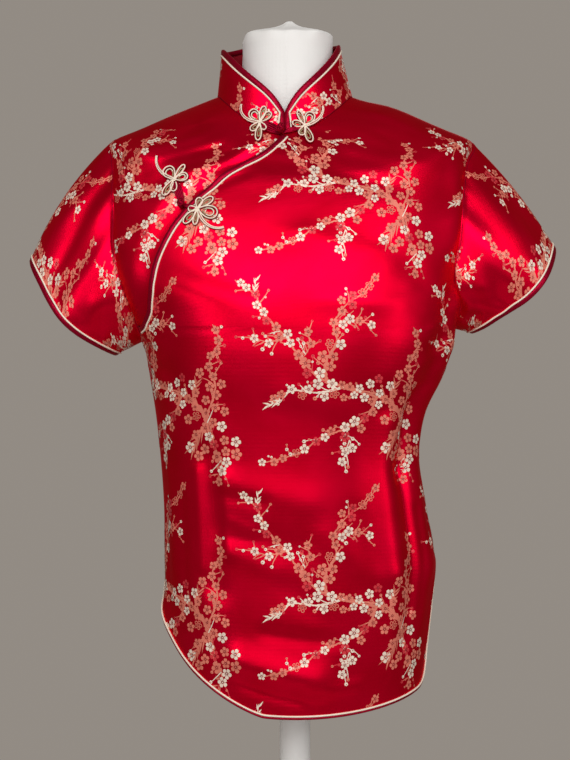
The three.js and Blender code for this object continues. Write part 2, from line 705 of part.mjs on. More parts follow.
// How far a body's surface stands above a point, along a direction (0 where it is missed).
const SEAT_REACH = 6;
const SEAT_FACE = 80; // no face of a panel is longer than this
function riseAt(body, point, direction) {
  const start = point.clone().addScaledVector(direction, SEAT_REACH);
  const ray = new THREE.Ray(start, direction.clone().negate());
  const hit = new THREE.Vector3();
  let nearest = 2 * SEAT_REACH;
  for (const face of body.faces) {
    const [a, b, c] = face.map((i) => body.points[i]);
    if (a.distanceTo(point) > SEAT_FACE) continue;
    if (ray.intersectTriangle(a, b, c, false, hit)) {
      nearest = Math.min(nearest, hit.distanceTo(start));
    }
  }
  return nearest < 2 * SEAT_REACH ? SEAT_REACH - nearest : 0;
}

const SKEW_LIMIT = 0.28;

// Path along a panel's edge: each cell of `route` is a row and a column, and the neighbour
// after it tells which way the cloth lies.
function edgePath(rows, route, closed = false) {
  const face = (r, c) => rows[r][c].p.clone().addScaledVector(rows[r][c].n, WALL / 2);
  const points = route.map(([r, c]) => face(r, c));
  return route.map(([r, c, insideRow, insideColumn], i) => {
    const wrap = (k) => (closed ? (k + points.length) % points.length
      : clamp(k, 0, points.length - 1));
    const forward = points[wrap(i + 1)].clone().sub(points[wrap(i - 1)]).normalize();
    const { n } = rows[r][c];
    // along the facet's edge to the neighbour, as long as it takes to go 1 mm in from the edge
    const inward = face(insideRow, insideColumn).sub(points[i]).normalize();
    const straightIn = n.clone().cross(forward).normalize();
    inward.divideScalar(Math.max(Math.abs(inward.dot(straightIn)), SKEW_LIMIT));
    return { p: points[i], n, inward };
  });
}

const shifted = ({ p, n, inward }, across, up) => (
  p.clone().addScaledVector(inward, across).addScaledVector(n, up));

// How far the cloth stands above the edge's own plane, at a distance in from the edge.
const riseIn = (body, s, across) => Math.max(riseAt(body, shifted(s, across, 0), s.n), 0);

function bindingBody(cloth, path, closed = false) {
  const { width, thick, lift } = BINDING;
  return sweep(path.map((s) => {
    const inner = lift + riseIn(cloth, s, width);
    return [
      shifted(s, 0, lift), shifted(s, width, inner),
      shifted(s, width, inner + thick), shifted(s, 0, lift + thick),
    ];
  }), closed);
}

function pipingBody(cloth, path, closed = false) {
  const { radius, sides, gap } = PIPING;
  const across = BINDING.width + gap + radius;
  return sweep(path.map((s) => {
    const rises = [-1, 0, 1].map((side) => riseIn(cloth, s, across + side * radius));
    const up = BINDING.lift + radius + Math.max(...rises);
    return Array.from({ length: sides }, (_, i) => {
      const turn = (2 * Math.PI * (i + 0.5)) / sides;
      return shifted(s, across + radius * Math.sin(turn), up - radius * Math.cos(turn));
    });
  }), closed);
}

function trim(name, cloth, path, closed = false) {
  return [
    place(`binding_${name}`, bindingBody(cloth, path, closed), bindingSatin()),
    place(`piping_${name}`, pipingBody(cloth, path, closed), pipingSatin()),
  ];
}

const counting = (from, to) => (
  Array.from({ length: Math.abs(to - from) + 1 }, (_, i) => from + i * Math.sign(to - from)));

const hemRoute = (rows) => rows[0].map((_, c) => [0, c, 1, c]);
const frontHem = edgePath(frontRows, hemRoute(frontRows));
const backHem = edgePath(backRows, hemRoute(backRows));

const topRow = frontRows.length - 1;
const openingFoot = HEM_ROWS + upperLevels.findIndex((level) => level > OPENING_TRIM_FOOT);
const openingPath = edgePath(
  frontRows, counting(topRow, openingFoot).map((r) => [r, 0, r, 1]));
// the opening's trim stops just short of the collar
openingPath[0].p.lerp(openingPath[1].p, 0.25);

const collarTop = COLLAR.rows;
const collarEnd = COLLAR.columns;
const collarPath = edgePath(collarRows, [
  ...counting(0, collarTop - 1).map((r) => [r, collarEnd, r, collarEnd - 1]),
  [collarTop, collarEnd, collarTop - 1, collarEnd - 1],
  ...counting(collarEnd - 1, 1).map((c) => [collarTop, c, collarTop - 1, c]),
  [collarTop, 0, collarTop - 1, 1],
  ...counting(collarTop - 1, 0).map((r) => [r, 0, r, 1]),
]);

const cuffPath = (rows) => edgePath(
  rows, rows[0].map((_, c) => [SLEEVE_ROWS, c, SLEEVE_ROWS - 1, c]), true);

const collarTrim = trim('collar', collar, collarPath);
const openingTrim = trim('opening', frontMain, openingPath);
trim('front_hem', frontMain, frontHem);
trim('back_hem', back, backHem);
trim('cuff_left', sleeveLeft, cuffPath(leftSleeve), true);
trim('cuff_right', sleeveRight, cuffPath(rightSleeve), true);

// ---------------------------------------------------------------- frogs and knots

const carriers = [frontMain, frontUnder, collar, ...collarTrim, ...openingTrim];
const REACH = 34; // how far from its centre a frog looks for the cloth

// Triangles of the carriers near a place on the front.
function facesNear(x, z) {
  const near = [];
  for (const body of carriers) {
    for (const face of body.faces) {
      const corners = face.map((i) => body.points[i]);
      const beyond = corners.every((p) => Math.abs(p.x - x) > REACH)
        || corners.every((p) => Math.abs(p.z - z) > REACH) || corners.every((p) => p.y > 0);
      if (!beyond) near.push(new THREE.Triangle(...corners));
    }
  }
  return near;
}

// Where a line of sight along +Y at (x, z) first meets the cloth or its trim.
const EYE_Y = -400;
function frontmost(faces, x, z) {
  const ray = new THREE.Ray(new THREE.Vector3(x, EYE_Y, z), new THREE.Vector3(0, 1, 0));
  let best = Infinity;
  const hit = new THREE.Vector3();
  for (const { a, b, c } of faces) {
    if (ray.intersectTriangle(a, b, c, false, hit)) best = Math.min(best, hit.y);
  }
  return best;
}

// Depth of the cloth under a cord through (x, z) points, the frontmost of a few steps.
function depthsUnder(faces, points, widths) {
  const depths = points.map(([x, z], i) => {
    const w = widths[i] + 0.3;
    const probes = [[0, 0], [w, 0], [-w, 0], [0, w], [0, -w]];
    return Math.min(...probes.map(([dx, dz]) => frontmost(faces, x + dx, z + dz)));
  });
  return depths.map((_, i) => Math.min(...depths.slice(Math.max(i - 2, 0), i + 3)));
}

// A tube of four sides through (x, z) points over the given depths, with half-widths.
function cordBody(points, depths, widths, normal, height) {
  const centres = points.map(([x, z], i) => (
    new THREE.Vector3(x, depths[i], z).addScaledVector(normal, FROG.clearance + FROG.height)));
  return sweep(centres.map((centre, i) => {
    const ahead = centres[Math.min(i + 1, centres.length - 1)];
    const behind = centres[Math.max(i - 1, 0)];
    const across = ahead.clone().sub(behind).cross(normal).normalize();
    const up = normal.clone().multiplyScalar(height);
    const side = across.multiplyScalar(widths[i]);
    return [
      centre.clone().add(side), centre.clone().add(up),
      centre.clone().sub(side), centre.clone().sub(up),
    ];
  }));
}

function leafLoop({ turn, length, width }) {
  const dir = [Math.cos(radians(turn)), Math.sin(radians(turn))];
  const steps = FROG.steps / 2;
  const ts = span(0.08, 1, steps);
  return {
    points: ts.map((t) => [dir[0] * length * t, dir[1] * length * t]),
    widths: ts.map((t) => Math.max(0.6, (width / 2) * Math.sin(Math.PI * (0.12 + 0.8 * t)))),
  };
}

// Open loop: a teardrop that leaves and meets the heart.
function openLoop({ turn, length, width }) {
  const c = Math.cos(radians(turn));
  const s = Math.sin(radians(turn));
  const mid = width - FROG.cord;
  const ts = span(0.13, 0.87, FROG.steps);
  const points = ts.map((t) => {
    const along = ((length - FROG.cord) * (1 - Math.cos(2 * Math.PI * t))) / 2;
    const across = 0.65 * mid * Math.sin(2 * Math.PI * t) * Math.sin(Math.PI * t);
    return [c * along - s * across, s * along + c * across];
  });
  return { points, widths: points.map(() => FROG.cord * 0.8) };
}

// Tail: a cord whose heading turns by `curl` towards its free end.
function tailCord({ turn, length, curl }) {
  const steps = FROG.steps;
  const points = [[0, 0]];
  for (let i = 1; i <= steps; i++) {
    const heading = radians(turn + curl * ((i - 0.5) / steps) ** 1.5);
    const [x, z] = points[i - 1];
    const step = length / steps;
    points.push([x + step * Math.cos(heading), z + step * Math.sin(heading)]);
  }
  return { points, widths: points.map((_, i) => FROG.cord * (1 - (0.35 * i) / steps)) };
}

function meanNormal(faces, x, z) {
  const d = 8;
  const y = (dx, dz) => frontmost(faces, x + dx, z + dz);
  const slopeX = (y(d, 0) - y(-d, 0)) / (2 * d);
  const slopeZ = (y(0, d) - y(0, -d)) / (2 * d);
  return new THREE.Vector3(slopeX, -1, slopeZ).normalize();
}

function frogBody({ x, z, loops, tail }) {
  const faces = facesNear(x, z);
  const normal = meanNormal(faces, x, z);
  const { heart, heartHeight, height } = FROG;
  const middle = {
    points: [-0.8, -0.4, 0.4, 0.8].map((t) => [heart * t, 0]),
    widths: [0.35, 0.9, 0.9, 0.35].map((t) => t * heart),
  };
  const cords = [
    middle, ...loops.map((loop) => (loop.width < SLIM ? leafLoop(loop) : openLoop(loop))),
    tailCord(tail),
  ].map(({ points, widths }) => {
    const placed = points.map(([dx, dz]) => [x + dx, z + dz]);
    return { points: placed, widths, depths: depthsUnder(faces, placed, widths) };
  });
  // every cord rises to the heart, where they are sewn together
  const isHeart = ([px, pz]) => Math.hypot(px - x, pz - z) < heart;
  const heartDepth = Math.min(...cords.flatMap(({ points, depths }) => (
    depths.filter((_, i) => isHeart(points[i])))));
  const bodies = cords.map(({ points, depths, widths }, i) => {
    const held = points.map((point, k) => (isHeart(point) ? heartDepth : depths[k]));
    return cordBody(points, held, widths, normal, i ? height : heartHeight);
  });
  return bodies.map((body) => body.manifold()).reduce((sum, next) => sum.add(next));
}

function manifoldGeometry(solid) {
  const { vertProperties, triVerts } = solid.getMesh();
  const geometry = new THREE.BufferGeometry();
  geometry.setAttribute('position', new THREE.Float32BufferAttribute(vertProperties, 3));
  geometry.setIndex([...triVerts]);
  geometry.computeVertexNormals();
  return geometry;
}

for (const frog of FROGS) place(frog.name, manifoldGeometry(frogBody(frog)), pipingSatin());

for (const { name, x, z } of KNOTS) {
  const faces = facesNear(x, z);
  const normal = meanNormal(faces, x, z);
  const steps = span(-KNOT_RADIUS, KNOT_RADIUS, 8);
  const cloth = steps.flatMap((dx) => steps.map((dz) => (
    new THREE.Vector3(x + dx, frontmost(faces, x + dx, z + dz), z + dz))));
  // the ball comes forward until it clears the cloth and its trim
  const centre = new THREE.Vector3(x, frontmost(faces, x, z), z);
  while (cloth.some((p) => p.distanceTo(centre) < KNOT_RADIUS + SEAM)) {
    centre.addScaledVector(normal, SEAM / 2);
  }
  const ball = new THREE.IcosahedronGeometry(KNOT_RADIUS, 1);
  ball.translate(centre.x, centre.y, centre.z);
  place(name, ball, bindingSatin());
}

// ---------------------------------------------------------------- dress form

function formInset(angle, level) {
  const seated = ease((level - 1120) / 40) * Math.abs(Math.sin(radians(angle))) ** 8;
  return lerp(FORM.inset, FORM.shoulderInset, seated);
}

function formPoint(angle, level, extra = 0) {
  const normal = normalOf(torsoPoint, angle, level);
  const point = torsoPoint(angle, level);
  point.addScaledVector(normal, -formInset(angle, level) - extra);
  // its lower rings are level, whatever the hem does
  if (level < FORM.level) point.z = level;
  return point;
}

function neckPoint({ level, radius, depth, dip }, angle) {
  const s = Math.sin(radians(angle));
  const c = Math.cos(radians(angle));
  const z = level + (c > 0 ? dip * c * c : 0);
  return new THREE.Vector3(NECK_CENTRE.x + radius * s, NECK_CENTRE.y - depth * c, z);
}

const formAngles = span(0, 360, FORM.columns).slice(0, FORM.columns);
const formLevels = [
  ...span(FORM.bottom + FORM.round, 1100, 9),
  ...upperLevels.filter((level) => level > 1110),
];
const formRings = [
  formAngles.map((angle) => {
    const point = formPoint(angle, FORM.bottom + FORM.round, FORM.round);
    return point.setZ(FORM.bottom);
  }),
  ...formLevels.map((level) => formAngles.map((angle) => formPoint(angle, level))),
  ...NECK.map((ring) => formAngles.map((angle) => neckPoint(ring, angle))),
];

function closedLoft(rings, bottomCentre, topCentre) {
  const body = new Body();
  const placed = rings.map((ring) => ring.map((p) => body.add(p)));
  const foot = body.add(bottomCentre);
  const head = body.add(topCentre);
  const count = placed[0].length;
  for (let c = 0; c < count; c++) {
    const d = (c + 1) % count;
    for (let r = 0; r + 1 < placed.length; r++) {
      body.quad(placed[r][c], placed[r][d], placed[r + 1][d], placed[r + 1][c]);
    }
    const last = placed[placed.length - 1];
    body.triangle(foot, placed[0][d], placed[0][c]);
    body.triangle(last[c], last[d], head);
  }
  return body;
}
place('form_body', closedLoft(
  formRings,
  new THREE.Vector3(0, 0, FORM.bottom),
  new THREE.Vector3(NECK_PEAK.x, NECK_PEAK.y, NECK_PEAK.z),
), jersey());

const poleBottom = BASE.crown + SEAM;
const poleLength = FORM.bottom - SEAM - poleBottom;
const pole = new THREE.CylinderGeometry(POLE.radius, POLE.radius, poleLength, POLE.sides);
pole.rotateX(Math.PI / 2);
pole.translate(0, 0, poleBottom + poleLength / 2);
place('form_pole', pole, painted());

const base = new THREE.LatheGeometry([
  new THREE.Vector2(0, 0),
  new THREE.Vector2(BASE.radius, 0),
  new THREE.Vector2(BASE.radius, BASE.edge),
  new THREE.Vector2(BASE.radius - 4, BASE.edge + 3),
  new THREE.Vector2(BASE.collarRadius, BASE.crown),
  new THREE.Vector2(0, BASE.crown),
], BASE.sides);
base.rotateX(Math.PI / 2);
place('form_base', base, painted());

export default group;
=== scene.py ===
"""Looks of a short-sleeved mandarin-collar blouse, in piped satin brocade, on a dress form.

Sizes are millimetres until a mesh is made. "Left" and "right" are the viewer's, facing the front.
"""

import math

import bpy
import numpy as np
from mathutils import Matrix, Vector
from mathutils.bvhtree import BVHTree


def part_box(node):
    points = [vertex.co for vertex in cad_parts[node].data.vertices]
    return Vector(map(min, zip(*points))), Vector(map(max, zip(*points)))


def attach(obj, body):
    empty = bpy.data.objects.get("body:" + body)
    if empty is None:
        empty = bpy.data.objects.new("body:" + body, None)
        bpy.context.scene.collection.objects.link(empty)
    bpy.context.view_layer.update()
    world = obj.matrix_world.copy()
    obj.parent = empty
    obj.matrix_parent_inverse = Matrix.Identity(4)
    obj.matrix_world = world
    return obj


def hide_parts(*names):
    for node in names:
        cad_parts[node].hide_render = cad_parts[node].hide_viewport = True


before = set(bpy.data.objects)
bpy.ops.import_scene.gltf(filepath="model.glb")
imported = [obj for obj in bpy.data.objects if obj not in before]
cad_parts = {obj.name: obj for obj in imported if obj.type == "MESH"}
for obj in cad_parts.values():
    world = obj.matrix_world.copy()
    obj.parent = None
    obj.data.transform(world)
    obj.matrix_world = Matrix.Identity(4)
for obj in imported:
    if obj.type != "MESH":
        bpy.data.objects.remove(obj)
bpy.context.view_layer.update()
rng = np.random.default_rng(11)

# ---------------------------------------------------------------- camera, light, floor

MM = 0.001
CAMERA = {"at": (-10.8, -1350, 892), "lens": 59.2}


def add_camera():
    data = bpy.data.cameras.new("camera")
    data.lens = CAMERA["lens"]
    camera = bpy.data.objects.new("camera", data)
    camera.location = Vector(CAMERA["at"]) * MM
    camera.rotation_euler = (math.pi / 2, 0, 0)
    bpy.context.scene.collection.objects.link(camera)
    bpy.context.scene.camera = camera


LIGHTS = [
    {"name": "front", "at": (0.0, -2.1, 2.0), "size": (3.3, 1.3), "watts": 44, "tint": (1, 0.98, 0.97)},
    {"name": "room", "at": (0.0, -2.5, 0.9), "size": (1.9, 0.9), "watts": 6, "tint": (1, 0.98, 0.96)},
    {"name": "left", "at": (-1.6, -1.9, 0.85), "size": (0.8, 0.5), "watts": 4, "tint": (1, 0.98, 0.97)},
    {"name": "window", "at": (1.9, -1.4, 1.05), "size": (0.4, 1.2), "watts": 6, "tint": (0.95, 0.98, 1)},
    {"name": "behind", "at": (0.3, 2.2, 1.7), "size": (1.6, 1.0), "watts": 3, "tint": (1, 1, 1)},
]
AIM = Vector((0, 0, 0.9))
# The wall behind is seen at one strength, and lights the part with less
BACKDROP = {"color": (0.34, 0.305, 0.27, 1), "seen": 0.85, "lights": 0.52}


def add_lights():
    for light in LIGHTS:
        data = bpy.data.lights.new(light["name"], "AREA")
        data.shape = "RECTANGLE"
        data.size, data.size_y = light["size"]
        data.energy = light["watts"]
        data.color = light["tint"]
        lamp = bpy.data.objects.new(light["name"], data)
        lamp.visible_camera = False
        lamp.location = light["at"]
        lamp.rotation_euler = (AIM - lamp.location).to_track_quat("-Z", "Y").to_euler()
        bpy.context.scene.collection.objects.link(lamp)
    world = bpy.data.worlds.new("studio")
    world.use_nodes = True
    tree = world.node_tree
    background = tree.nodes["Background"]
    background.inputs["Color"].default_value = BACKDROP["color"]
    rays = tree.nodes.new("ShaderNodeLightPath")
    strength = tree.nodes.new("ShaderNodeMapRange")
    strength.inputs["To Min"].default_value = BACKDROP["lights"]
    strength.inputs["To Max"].default_value = BACKDROP["seen"]
    tree.links.new(rays.outputs["Is Camera Ray"], strength.inputs["Value"])
    tree.links.new(strength.outputs["Result"], background.inputs["Strength"])
    bpy.context.scene.world = world
    bpy.context.scene.view_settings.view_transform = "Standard"


# ---------------------------------------------------------------- materials


def material(name, color, roughness, **sockets):
    made = bpy.data.materials.new(name)
    made.use_nodes = True
    shader = made.node_tree.nodes["Principled BSDF"]
    shader.inputs["Base Color"].default_value = (*color, 1)
    shader.inputs["Roughness"].default_value = roughness
    for socket, value in sockets.items():
        shader.inputs[socket.replace("_", " ")].default_value = value
    return made


def node(made, kind, **values):
    new = made.node_tree.nodes.new(kind)
    for key, value in values.items():
        if key in new.inputs:
            new.inputs[key].default_value = value
        else:
            setattr(new, key, value)
    return new


def link(made, output, target):
    made.node_tree.links.new(output, target)


def ramp(made, source, ends, colors):
    new = node(made, "ShaderNodeValToRGB")
    for element, position, color in zip(new.color_ramp.elements, ends, colors):
        element.position = position
        element.color = (*color, 1)
    link(made, source, new.inputs["Fac"])
    return new.outputs["Color"]


def woven(made, low, high, ends=(0.3, 0.7), threads=(130, 75), strength=0.12, slub=0.25, patch=18):
    """Fine threads along the cloth's own UVs, soft slubs, and a slow change between two colours."""
    uv = node(made, "ShaderNodeTexCoord").outputs["UV"]
    shader = made.node_tree.nodes["Principled BSDF"]
    mixed = node(made, "ShaderNodeMath", operation="MULTIPLY")
    for turn, (scale, axis) in enumerate(zip(threads, ("X", "Y"))):
        wave = node(made, "ShaderNodeTexWave", Scale=scale, Distortion=1.5, bands_direction=axis)
        wave.inputs["Detail Scale"].default_value = 3 + turn
        link(made, uv, wave.inputs["Vector"])
        link(made, wave.outputs["Fac"], mixed.inputs[turn])
    noise = node(made, "ShaderNodeTexNoise", Scale=patch * 6, Detail=3.0)
    link(made, uv, noise.inputs["Vector"])
    fine = node(made, "ShaderNodeBump", Strength=strength, Distance=0.0002)
    soft = node(made, "ShaderNodeBump", Strength=slub, Distance=0.0006)
    link(made, mixed.outputs[0], fine.inputs["Height"])
    link(made, noise.outputs["Fac"], soft.inputs["Height"])
    link(made, soft.outputs["Normal"], fine.inputs["Normal"])
    link(made, fine.outputs["Normal"], shader.inputs["Normal"])
    slow = node(made, "ShaderNodeTexNoise", Scale=patch, Detail=4.0)
    link(made, uv, slow.inputs["Vector"])
    link(made, ramp(made, slow.outputs["Fac"], ends, (low, high)), shader.inputs["Base Color"])
    return made


STEEP = (0.35, 0.65)
CORD_WEAVE = {"threads": (60, 130), "strength": 0.4}


def cloth_materials():
    satin = material("satin_red", (0.8, 0.0, 0.026), 0.33, Metallic=0.85, Anisotropic=0.5,
                     Specular_IOR_Level=0.25, Specular_Tint=(1, 0.06, 0.1, 1))
    lining = material("lining_red", (0.36, 0.004, 0.02), 0.55)
    bias = material("bias_dark_red", (0.3, 0.002, 0.02), 0.36, Metallic=0.6,
                    Specular_IOR_Level=0.25, Specular_Tint=(1, 0.1, 0.15, 1))
    cream = material("cream_cord", (0.92, 0.8, 0.66), 0.42)
    # A darker tan cream for painted shade: the shadow that falls inside the frogs' loops
    painted_shade = material("cream_painted_shade", (0.42, 0.31, 0.17), 0.5)
    return {
        "satin": woven(satin, (0.7, 0.0, 0.02), (0.8, 0.0, 0.028), STEEP, strength=0.1, slub=0.12),
        "lining": woven(lining, (0.33, 0.003, 0.018), (0.4, 0.005, 0.022), strength=0.2),
        "bias": woven(bias, (0.26, 0.002, 0.018), (0.36, 0.003, 0.026), threads=(95, 95), strength=0.2),
        "cream": woven(cream, (0.88, 0.75, 0.6), (0.96, 0.87, 0.74), **CORD_WEAVE),
        "painted_shade": woven(painted_shade, (0.34, 0.24, 0.12), (0.5, 0.38, 0.22), **CORD_WEAVE),
    }


# The woven figure's weft colours, from the lightest to the dark outlines: colour, roughness, metal
WEFTS = {
    "ivory": ((0.97, 0.82, 0.68), 0.38, 0.1),
    "salmon": ((0.9, 0.24, 0.17), 0.38, 0.2),
    "coral": ((0.88, 0.05, 0.07), 0.36, 0.4),
    "line": ((0.3, 0.003, 0.01), 0.5, 0.2),
}
LINE = 3


def weft_material(name, color, roughness, metallic):
    made = material(f"weft_{name}", color, roughness, Metallic=metallic)
    dark = tuple(0.82 * v for v in color)
    return woven(made, dark, color, STEEP, threads=(75, 160), strength=0.3, slub=0.1, patch=60)


# ---------------------------------------------------------------- meshes


def unit(v):
    return v / np.maximum(np.linalg.norm(v, axis=-1, keepdims=True), 1e-12)


def add_mesh(name, points, faces, materials, indices=None, uvs=None, sharp=None, slot=None):
    """A mesh of points (mm) and faces, which rides on the root body."""
    mesh = bpy.data.meshes.new(name)
    faces = faces if isinstance(faces, list) else faces.tolist()
    mesh.from_pydata((np.asarray(points, float) * MM).tolist(), [], faces)
    for entry in materials:
        mesh.materials.append(entry)
    if indices is not None:
        mesh.polygons.foreach_set("material_index", np.asarray(indices, np.int32))
    mesh.polygons.foreach_set("use_smooth", np.ones(len(mesh.polygons), bool))
    if uvs is not None:
        corners = np.zeros(len(mesh.loops), np.int32)
        mesh.loops.foreach_get("vertex_index", corners)
        layer = mesh.uv_layers.new(name="cut")
        layer.data.foreach_set("uv", (np.asarray(uvs, float)[corners] * MM).ravel().astype(np.float32))
    if sharp:
        mesh.set_sharp_from_angle(angle=math.radians(sharp))
    mesh.update()
    piece = bpy.data.objects.new(name, mesh)
    bpy.context.scene.collection.objects.link(piece)
    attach(piece, "root")
    return piece


def grid_faces(rows, columns, closed=False, start=0):
    r, c = np.meshgrid(np.arange(rows - 1), np.arange(columns if closed else columns - 1), indexing="ij")
    d = (c + 1) % columns
    at = lambda i, j: (start + i * columns + j).ravel()
    return np.stack([at(r, c), at(r, d), at(r + 1, d), at(r + 1, c)], 1)


def grid_normals(grid, closed=False):
    if closed:
        across = np.roll(grid, -1, 1) - np.roll(grid, 1, 1)
    else:
        across = np.gradient(grid, axis=1)
    return unit(np.cross(across, np.gradient(grid, axis=0)))


def shell(name, grid, uv, normal, closed):
    """A wall of cloth through a grid of points, its inside in the lining."""
    rows, columns = grid.shape[:2]
    count = rows * columns
    points = np.concatenate([grid + normal * FACE, grid - normal * FACE]).reshape(-1, 3)
    outer = grid_faces(rows, columns, closed)
    inner = grid_faces(rows, columns, closed, count)[:, ::-1]
    c = np.arange(columns if closed else columns - 1)
    d = (c + 1) % columns
    top = (rows - 1) * columns
    rims = [
        np.stack([c + count, d + count, d, c], 1),
        np.stack([top + c, top + d, top + d + count, top + c + count], 1),
    ]
    if not closed:
        r = np.arange(rows - 1) * columns
        e = r + columns - 1
        rims.append(np.stack([r + columns + count, r + count, r, r + columns], 1))
        rims.append(np.stack([e + columns, e, e + count, e + columns + count], 1))
    faces = np.concatenate([outer, inner, *rims])
    indices = np.zeros(len(faces), int)
    indices[len(outer):] = 1
    uvs = np.tile(uv.reshape(-1, 2), (2, 1))
    layers = [stuff["satin"], stuff["lining"]]
    return add_mesh(f"{name}_cloth", points, faces, layers, indices, uvs, sharp=50, slot="satin")


def sweep(sections, closed=False, start=0):
    """Points and faces of a solid through rings of equal count, with capped ends."""
    rings, count = sections.shape[:2]
    points = sections.reshape(-1, 3)
    faces = grid_faces(rings, count, True, start).tolist()
    if closed:
        c = np.arange(count)
        last = (rings - 1) * count
        faces += np.stack([last + c, last + (c + 1) % count, (c + 1) % count, c], 1).tolist()
    else:
        faces.append((start + np.arange(count))[::-1].tolist())
        faces.append((start + (rings - 1) * count + np.arange(count)).tolist())
    return points, faces


def along_line(line, closed=False):
    """Unit vectors along a line."""
    return unit(np.roll(line, -1, 0) - np.roll(line, 1, 0) if closed else np.gradient(line, axis=0))


def cord(line, normals, half, height, sides=8, closed=False):
    """Sections of a cord with elliptical section, half wide across and high along the normals."""
    along = along_line(line, closed)
    across = unit(np.cross(along, normals))
    out = unit(np.cross(across, along))
    turn = 2 * math.pi * np.arange(sides)[None, :, None] / sides
    half = np.broadcast_to(half, len(line))[:, None, None]
    height = np.broadcast_to(height, len(line))[:, None, None]
    return line[:, None] + across[:, None] * half * np.cos(turn) + out[:, None] * height * np.sin(turn)


def resample(line, step, closed=False):
    """The line again, at even steps, with the columns after its three coordinates alike."""
    if closed:
        line = np.concatenate([line, line[:1]])
    along = np.concatenate([[0], np.cumsum(np.linalg.norm(np.diff(line[:, :3], axis=0), axis=1))])
    count = max(int(round(along[-1] / step)), 3)
    at = np.linspace(0, along[-1], count + 1)
    if closed:
        at = at[:-1]
    return np.stack([np.interp(at, along, line[:, k]) for k in range(line.shape[1])], 1)


def smooth(line, rounds, closed=False):
    line = line.copy()
    for _ in range(rounds):
        if closed:
            line = (np.roll(line, 1, 0) + 2 * line + np.roll(line, -1, 0)) / 4
        else:
            line[1:-1] = (line[:-2] + 2 * line[1:-1] + line[2:]) / 4
    return line


# ---------------------------------------------------------------- torso surface

# Level, left, right, front, back, cx, cy, dip at the front, dip at the back, superellipse power
TORSO = np.array([
    [545, 140, 137, 110, 104, 0, 0, -20, -6, 2.3],
    [600, 139, 139, 110, 106, 0, 0, -20, -6, 2.3],
    [655, 138, 145, 110, 106, 0, 0, -12, -4, 2.3],
    [697, 139, 149, 110, 104, 0, 0, -6, -2, 2.3],
    [762, 140, 139, 112, 98, 0, 0, 0, 0, 2.3],
    [816, 144, 132, 114, 91, 0, 0, 0, 0, 2.3],
    [860, 149, 139, 118, 89, 0, 0, 0, 0, 2.3],
    [903, 156, 160, 124, 93, 0, 0, 0, 0, 2.3],
    [930, 161, 168, 127, 96, 0, 0, 0, 0, 2.3],
    [960, 173, 173, 127, 99, 0, 2, -8, 0, 2.3],
    [1000, 190, 178, 125, 102, -2, 4, -20, 0, 2.3],
    [1040, 200, 184, 119, 103, -3, 6, -32, 0, 2.25],
    [1080, 202, 190, 110, 101, -4, 8, -42, 2, 2.2],
    [1110, 200, 193, 102, 97, -4, 8, -48, 5, 2.15],
    [1130, 196, 194, 96, 93, -4, 8, -51, 7, 2.1],
    [1150, 192, 193, 89, 88, -4, 8, -52, 8, 2.05],
    [1162, 163, 166, 83, 84, -5, 8, -52, 9, 2.05],
    [1178, 124, 124, 76, 78, -7, 7, -52, 10, 2.05],
    [1190, 91, 90, 68, 72, -10, 6, -51, 11, 2.05],
    [1197, 72, 72, 62, 68, -11, 5, -50, 12, 2.05],
], float)
NECKLINE = 1197
FACE = 0.8  # half of the cloth's wall
HEM_TOP = 762
FOLD_MM_PER_DEGREE = 2.3
BACK_FOLDS_FROM = 110  # degrees
COLLAR_FADE = 14

# Angle, level, angle at the far end, level there, width, height. The folds are the solids' own. The
# creases are finer, with a few broad ones that soften or move a fold.
FOLDS = np.array([
    [62, 1020, 52, 800, 15, -4], [50, 800, 50, 640, 14, -4], [68, 980, 66, 700, 16, 3],
    [-36, 815, -34, 690, 13, -3], [-70, 925, -50, 890, 14, -3], [-75, 650, -70, 610, 20, 4],
    [-22, 625, 8, 612, 14, 4], [-30, 790, 5, 770, 16, 2.5], [-30, 745, 0, 728, 14, -2.5],
    [60, 1120, 66, 1010, 14, 3], [-26, 1165, -48, 1110, 12, -2.5], [90, 1184, 60, 1180, 12, 3.5],
    [150, 860, 140, 660, 16, -4], [205, 900, 215, 640, 18, -4], [180, 840, 178, 620, 20, 3],
    [165, 860, 200, 845, 14, -3.5], [150, 960, 125, 930, 15, -3], [212, 965, 238, 935, 15, -3],
    [180, 1120, 180, 960, 22, -2],
], float)
